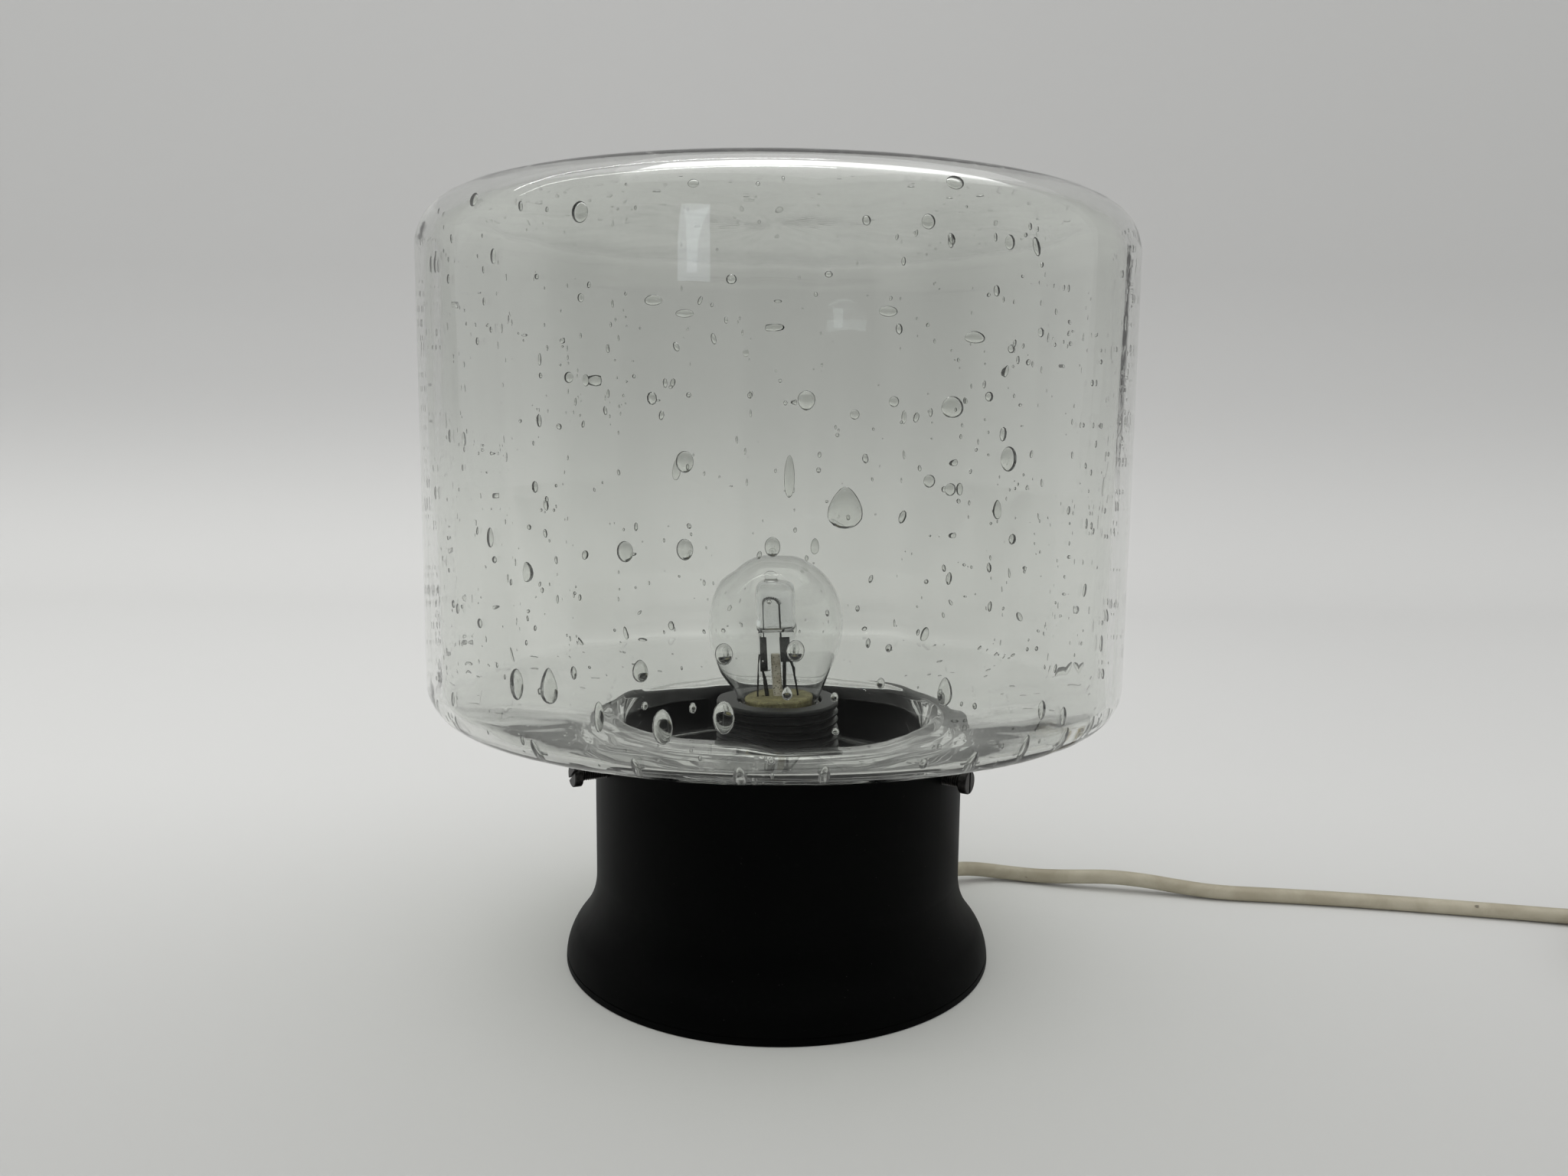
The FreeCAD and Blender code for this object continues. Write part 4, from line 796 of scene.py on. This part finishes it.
def addBubbles(source):
    cloud = BubbleCloud()
    for degrees, height, width, tall, taper in largeBubbles:
        spot, turn = wallSpot(degrees, height)
        cloud.add(spot, turn, (width, tall), min(1.1, 0.26 * min(width, tall)), taper=taper, ball="large")
    for degrees, bend, width, tall, taper in cornerBubbles:
        spot, turn, lean = cornerSpot(degrees, bend)
        cloud.add(spot, turn, (width, tall), 1.1, lean=lean, taper=taper, ball="large")
    chance = random.Random(bubbles["seed"])
    for i in range(bubbles["inWall"]):
        # more of them toward the sides than at the front and the back
        degrees = chance.choice((90, 270)) + chance.gauss(0, bubbles["sideSpread"])
        height = chance.uniform(*bubbles["wallHeights"])
        spot, turn = wallSpot(degrees, height, chance.uniform(-bubbles["wallDepth"], bubbles["wallDepth"]))
        across = min(2.4, bubbles["middleSize"] * math.exp(chance.gauss(0, 0.5)))
        tall = across * chance.uniform(0.8, 2.0)
        cloud.add(spot, turn, (across, tall), min(across, 1.2) * 0.55, tilt=chance.gauss(0, 0.2))
    for i in range(bubbles["inCorner"]):
        spot, turn, lean = cornerSpot(chance.uniform(0, 360), chance.uniform(5, 75))
        across = bubbles["middleSize"] * math.exp(chance.gauss(0.1, 0.4))
        cloud.add(spot, turn, (across, across * chance.uniform(1, 2.4)), min(across, 1.2), lean=lean)
    for i in range(bubbles["inFloor"]):
        degrees, radius = chance.uniform(0, 360), chance.uniform(*bubbles["floorRadii"])
        spot, turn = floorSpot(degrees, radius, chance.uniform(*bubbles["layer"]))
        across = min(1.8, bubbles["middleSize"] * math.exp(chance.gauss(0.1, 0.5)))
        cloud.add(spot, turn, (across, min(across, 1.2)), across * chance.uniform(1, 2.4))
    for i in range(bubbles["inTop"]):
        turn = chance.uniform(0, math.tau)
        radius = bubbles["topRadius"] * math.sqrt(chance.uniform(0.01, 1))
        height = drum["top"] - drum["topWall"] * chance.uniform(*bubbles["layer"])
        across = min(2.4, bubbles["middleSize"] * math.exp(chance.gauss(0, 0.5)))
        spot = Vector((drum["offset"] + radius * math.sin(turn), -radius * math.cos(turn), height)) * mm
        cloud.add(spot, turn, (across, min(across, 1.3)), across)
    cloud.addTo(source)


def makeDrum():
    source = spinRound(drumOutline(), drum["ringSteps"])
    bmesh.ops.translate(source, verts=source.verts, vec=(drum["offset"] * mm, 0, 0))
    unevenWall(source)
    addBubbles(source)
    addPiece(meshObject("bubbledGlassDrum", source), "bubbled_glass", "shade", "glass_shade")


makeDrum()
print("glass drum made")


# Globe bulb: its glass and what stands in it lean a little in the cap
bulb = {
    "lean": -3.0,  # degrees about the Y axis
    "capTop": 81.0,
    "neckBottom": 80.0,
    "neckRadius": 12.6,
    "taperBottom": 81.8,
    "rootFillet": 3.0,
    "globeRadius": 22.4,
    "globeMiddle": 106.0,
    "wall": 0.7,
    "capsuleRadius": 5.4,
    "capsuleWall": 0.9,
    "capsuleBottom": 104.4,
    "capsuleTop": 120.6,
    "pipRadius": 1.3,
    "pipLength": 2.9,
    "pinchWidth": 9.6,
    "pinchThickness": 2.6,
    "pinchBottom": 90.0,
    "arcSteps": 40,  # from the taper to the pole
    "globeSteps": 128,  # round the globe
    "capsuleSteps": 64,
}


def leanOver(source):
    hinge = Vector((0, 0, bulb["capTop"] * mm))
    turn = Matrix.Rotation(math.radians(bulb["lean"]), 3, "Y")
    bmesh.ops.rotate(source, verts=source.verts, cent=hinge, matrix=turn)


def makeGlobe():
    # a short neck, a straight taper that meets the ball, then the ball up to its pole, outside and inside
    middle = bulb["globeMiddle"]
    drop = middle - bulb["taperBottom"]
    sides = []
    for inset in (0, bulb["wall"]):
        radius = bulb["globeRadius"] - inset
        neck = bulb["neckRadius"] - inset
        meet = math.atan2(drop, neck) - math.acos(radius / math.hypot(neck, drop))
        touch = (radius * math.cos(meet), middle - radius * math.sin(meet), 0)
        root = (neck, bulb["taperBottom"], bulb["rootFillet"])
        sides.append([touch, root, (neck, bulb["neckBottom"], 0)])
    source = outlineMesh(sides[0] + sides[1][::-1])
    for end in [vert for vert in source.verts if len(vert.link_edges) == 1]:
        below = math.degrees(math.atan2(middle * mm - end.co.z, end.co.x))
        addArc(source, end, (0, 0, middle), -90 - below, bulb["arcSteps"])
    spinRound(source, bulb["globeSteps"])
    leanOver(source)
    addPiece(meshObject("globeGlass", source), "clear_glass", "bulb", "bulb_globe")


def makeCapsule():
    radius, wall = bulb["capsuleRadius"], bulb["capsuleWall"]
    low, top = bulb["capsuleBottom"], bulb["capsuleTop"]
    pipTop = top + bulb["pipLength"]
    corners = [
        (0, pipTop, 0),
        (bulb["pipRadius"], pipTop, bulb["pipRadius"] * 0.9),
        (bulb["pipRadius"], top, 0.4),
        (radius, top, radius * 0.72),
        (radius, low, 1.2),
        (0, low, 0),
    ]
    hollow = [
        (0, low + wall, 0),
        (radius - wall, low + wall, 0.8),
        (radius - wall, top - wall, (radius - wall) * 0.72),
        (0, top - wall, 0),
    ]
    source = spinRound(outlineMesh(corners), bulb["capsuleSteps"])
    inner = spinRound(outlineMesh(hollow), bulb["capsuleSteps"])
    bmesh.ops.reverse_faces(inner, faces=inner.faces)
    joinMesh(source, inner)
    leanOver(source)
    addPiece(meshObject("halogenCapsule", source, sharpAngle=50), "quartz", "bulb", "bulb_capsule")


def boxMesh(source, size, middle, bevel, segments=3):
    made = bmesh.ops.create_cube(source, size=1)["verts"]
    bmesh.ops.scale(source, vec=Vector(size) * mm, verts=made)
    bmesh.ops.translate(source, vec=Vector(middle) * mm, verts=made)
    edges = list({edge for vert in made for edge in vert.link_edges})
    bmesh.ops.bevel(
        source, geom=edges, offset=bevel * mm, affect="EDGES", segments=segments, profile=0.5, material=-1
    )


def makePinch():
    source = bmesh.new()
    height = bulb["capsuleBottom"] - bulb["pinchBottom"] - 0.1
    middle = (0, 0, bulb["pinchBottom"] + height / 2)
    boxMesh(source, (bulb["pinchWidth"], bulb["pinchThickness"], height), middle, 0.6)
    leanOver(source)
    addPiece(meshObject("capsulePinch", source, sharpAngle=50), "quartz", "bulb")


# what stands in the pinch: x, z at the top and at the foot, in mm
innards = {
    "foils": [(-2.9, 102.4, 91.6, 2.3), (2.2, 102.2, 94.2, 2.3)],  # x, top, bottom, width
    "foilThickness": 0.25,
    "legs": [(-2.4, 113.0), (1.4, 113.0)],
    "legBottom": 102.0,
    "legRadius": 0.22,
    "wires": [
        [(-4.4, 97.0), (-5.3, 90.0), (-5.5, 82.0)],
        [(-3.0, 91.8), (-2.3, 88.5), (-2.1, 82.0)],
        [(1.9, 94.4), (1.5, 88.0), (1.4, 82.0)],
        [(3.0, 96.0), (4.4, 91.0), (5.7, 82.0)],
    ],
    "wireRadius": 0.42,
    "coilTurns": 13,
    "coilRadius": 0.42,
    "coilWire": 0.12,
    "coilSteps": 8,  # points to a turn
    "stemRadius": 1.0,
    "stemTop": 97.0,
}


def leaned(x, z, y=0.0):
    hinge = Vector((0, 0, bulb["capTop"]))
    return Matrix.Rotation(math.radians(bulb["lean"]), 3, "Y") @ (Vector((x, y, z)) - hinge) + hinge


def makeFoils():
    source = bmesh.new()
    for x, top, bottom, width in innards["foils"]:
        size = (width, innards["foilThickness"], top - bottom)
        boxMesh(source, size, (x, 0, (top + bottom) / 2), 0.08, segments=1)
    leanOver(source)
    piece = meshObject("pinchFoils", source, smooth=False)
    addPiece(piece, "nickel_wire", "bulb", "bulb_support_wires")


def makeWires():
    for i, route in enumerate(innards["wires"]):
        points = [leaned(x, z) for x, z in route]
        piece = curveObject("leadWire%d" % (i + 1), points, innards["wireRadius"], bevelSteps=3)
        addPiece(piece, "nickel_wire", "bulb", "bulb_support_wires")
    bottom = innards["legBottom"]
    for i, (x, top) in enumerate(innards["legs"]):
        points = [leaned(x, z) for z in (bottom, (bottom + top) / 2, top)]
        piece = curveObject("filamentLeg%d" % (i + 1), points, innards["legRadius"], bevelSteps=3)
        addPiece(piece, "tungsten", "bulb", "bulb_filament")


def makeFilament():
    # the coil arches from one leg to the other
    (left, foot), (right, foot) = innards["legs"]
    middle, half = (left + right) / 2, (right - left) / 2
    count = innards["coilTurns"] * innards["coilSteps"]
    points = []
    for i in range(count + 1):
        along = math.pi * i / count
        turn = math.tau * i / innards["coilSteps"]
        reach = half + innards["coilRadius"] * math.cos(turn)
        x = middle - reach * math.cos(along)
        z = foot + reach * math.sin(along)
        points.append(leaned(x, z, innards["coilRadius"] * math.sin(turn)))
    piece = curveObject("filamentCoil", points, innards["coilWire"], bevelSteps=1, resolution=2)
    addPiece(piece, "tungsten", "bulb", "bulb_filament")


def makeStem():
    radius, top = innards["stemRadius"], innards["stemTop"]
    source = outlineMesh([(0, top, 0), (radius, top, 0.4), (radius, bulb["capTop"], 0)])
    spinRound(source, 24)
    leanOver(source)
    piece = addPiece(meshObject("bulbStem", source, sharpAngle=50), "cream_cement", "bulb", "bulb_stem")
    finishPiece(piece, "speckled_stem")


makeGlobe()
makeCapsule()
makePinch()
makeFoils()
makeWires()
makeFilament()
makeStem()
print("bulb made")


# Floor and backdrop
stage = {
    "front": -2.5,  # metres
    "back": 0.75,
    "bend": 0.35,
    "height": 2.2,
    "halfWidth": 3.0,
    # painted shade: the paper is darker near the viewer, up the wall and to the right than far off on the
    # floor
    "shadedNearColour": (0.53, 0.53, 0.52),
    "farColour": (0.74, 0.74, 0.73),
    "shadedWallColour": (0.535, 0.535, 0.53),
    "shadedRightColour": (0.52, 0.52, 0.515),
    "dimColour": (0.05, 0.05, 0.05),
    "dimBefore": -0.36,
}


def stageFinish():
    # a plain pale paper, with painted shade: darker near the viewer, up the wall and to the right
    made = Finish("paleBackdrop")
    place = made.spot()
    # painted shade toward the viewer, up the wall and to the right
    floor = made.blendColour(place.part("Y").above(0.0, 0.20), stage["shadedNearColour"], stage["farColour"])
    wall = made.blendColour(place.part("Z").above(0.10, 0.13), floor, stage["shadedWallColour"])
    colour = made.blendColour(place.part("X").above(0.10, 0.40) * 0.4, wall, stage["shadedRightColour"])
    matt = {"Roughness": 0.75, "Specular IOR Level": 0.2}
    paper = made.shader({"Base Color": colour, **matt})
    dim = made.shader({"Base Color": stage["dimColour"], **matt})
    # the room behind the viewer is dim where something reflects it
    reflected = made.node("ShaderNodeLightPath", {}, {}, "Glossy Depth").clamped()
    shown = reflected * place.part("Y").below(stage["dimBefore"], 0.14)
    return made.done(made.node("ShaderNodeMixShader", {}, {0: shown, 1: paper, 2: dim}))


def makeStage():
    source = bmesh.new()
    wall = stage["back"] + stage["bend"]
    path = [(0, stage["front"], 0), (0, wall, 0), (0, wall, stage["height"])]
    verts = [source.verts.new(point) for point in path]
    for pair in zip(verts, verts[1:]):
        source.edges.new(pair)
    bmesh.ops.bevel(
        source,
        geom=[verts[1]],
        offset=stage["bend"],
        affect="VERTICES",
        segments=12,
        profile=0.5,
        material=-1,
    )
    bmesh.ops.translate(source, verts=source.verts, vec=(-stage["halfWidth"], 0, 0))
    sides = bmesh.ops.extrude_edge_only(source, edges=source.edges)["geom"]
    moved = [item for item in sides if isinstance(item, bmesh.types.BMVert)]
    bmesh.ops.translate(source, verts=moved, vec=(2 * stage["halfWidth"], 0, 0))
    bmesh.ops.recalc_face_normals(source, faces=source.faces)
    made = meshObject("backdrop", source)
    made.data.materials.append(stageFinish())


makeStage()


# Lamps and sky
def addLamp(name, size, power, place, target, colour=(1, 1, 1)):
    data = bpy.data.lights.new(name, "AREA")
    data.shape = "RECTANGLE"
    data.size, data.size_y = size
    data.energy = power
    data.color = colour
    lamp = bpy.data.objects.new(name, data)
    lamp.location = place
    lamp.rotation_euler = (Vector(target) - Vector(place)).to_track_quat("-Z", "Y").to_euler()
    bpy.context.scene.collection.objects.link(lamp)


studio = {
    "skyStrength": 0.84,  # what lights the scene
    "roomBehind": 0.60,  # what the camera, gloss and glass see of it
    "roomBefore": 0.04,  # what reflections show of it on the viewer's side
    "bounces": 24,  # light must get out of thick glass after many turns
}
# sizes and places in metres, power in watts
lamps = {
    "ceilingPanel": {
        "size": (2.6, 2.0),
        "power": 12.0,
        "place": (0.1, 0.1, 2.1),
        "target": (0, 0.15, 0),
    },
    "tube": {
        "size": (2.6, 0.02),
        "power": 3.2,
        "place": (-1.05, 0.30, 1.9),
        "target": (-1.05, 0.30, 0),
    },
    "windowPane": {
        "size": (0.42, 0.44),
        "power": 1.25,
        "place": (-1.15, -2.85, 0.76),
        "target": (0, 0, 0.15),
        "colour": (0.85, 0.92, 1),
    },
}


def lightScene():
    world = bpy.data.worlds.new("studioSky")
    sky = Finish("studioSky", world)
    ways = ("Camera", "Glossy", "Transmission")
    paths = [sky.node("ShaderNodeLightPath", {}, {}, "Is %s Ray" % way) for way in ways]
    backgrounds = [
        sky.node("ShaderNodeBackground", {}, {"Color": (1, 1, 0.99), "Strength": studio[name]})
        for name in ("skyStrength", "roomBehind", "roomBefore")
    ]
    past = sky.spot().part("Y").above(-0.35, 0.30)
    over = sky.spot().part("Z").above(0.45, 0.30)
    reflected = sky.node("ShaderNodeLightPath", {}, {}, "Glossy Depth").clamped()
    bent = reflected * (1 - past) * (1 - over * 0.7)
    room = sky.node("ShaderNodeMixShader", {}, {0: bent, 1: backgrounds[1], 2: backgrounds[2]})
    sky.done(sky.node("ShaderNodeMixShader", {}, {0: sum(paths).clamped(), 1: backgrounds[0], 2: room}))
    bpy.context.scene.world = world
    for name, lamp in lamps.items():
        addLamp(name, **lamp)
    cycles = bpy.context.scene.cycles
    cycles.max_bounces = studio["bounces"]
    cycles.glossy_bounces = studio["bounces"]
    cycles.transmission_bounces = studio["bounces"]
    cycles.transparent_max_bounces = studio["bounces"]


lightScene()
bpy.context.scene.view_settings.view_transform = "Standard"
print("stage and lamps made")
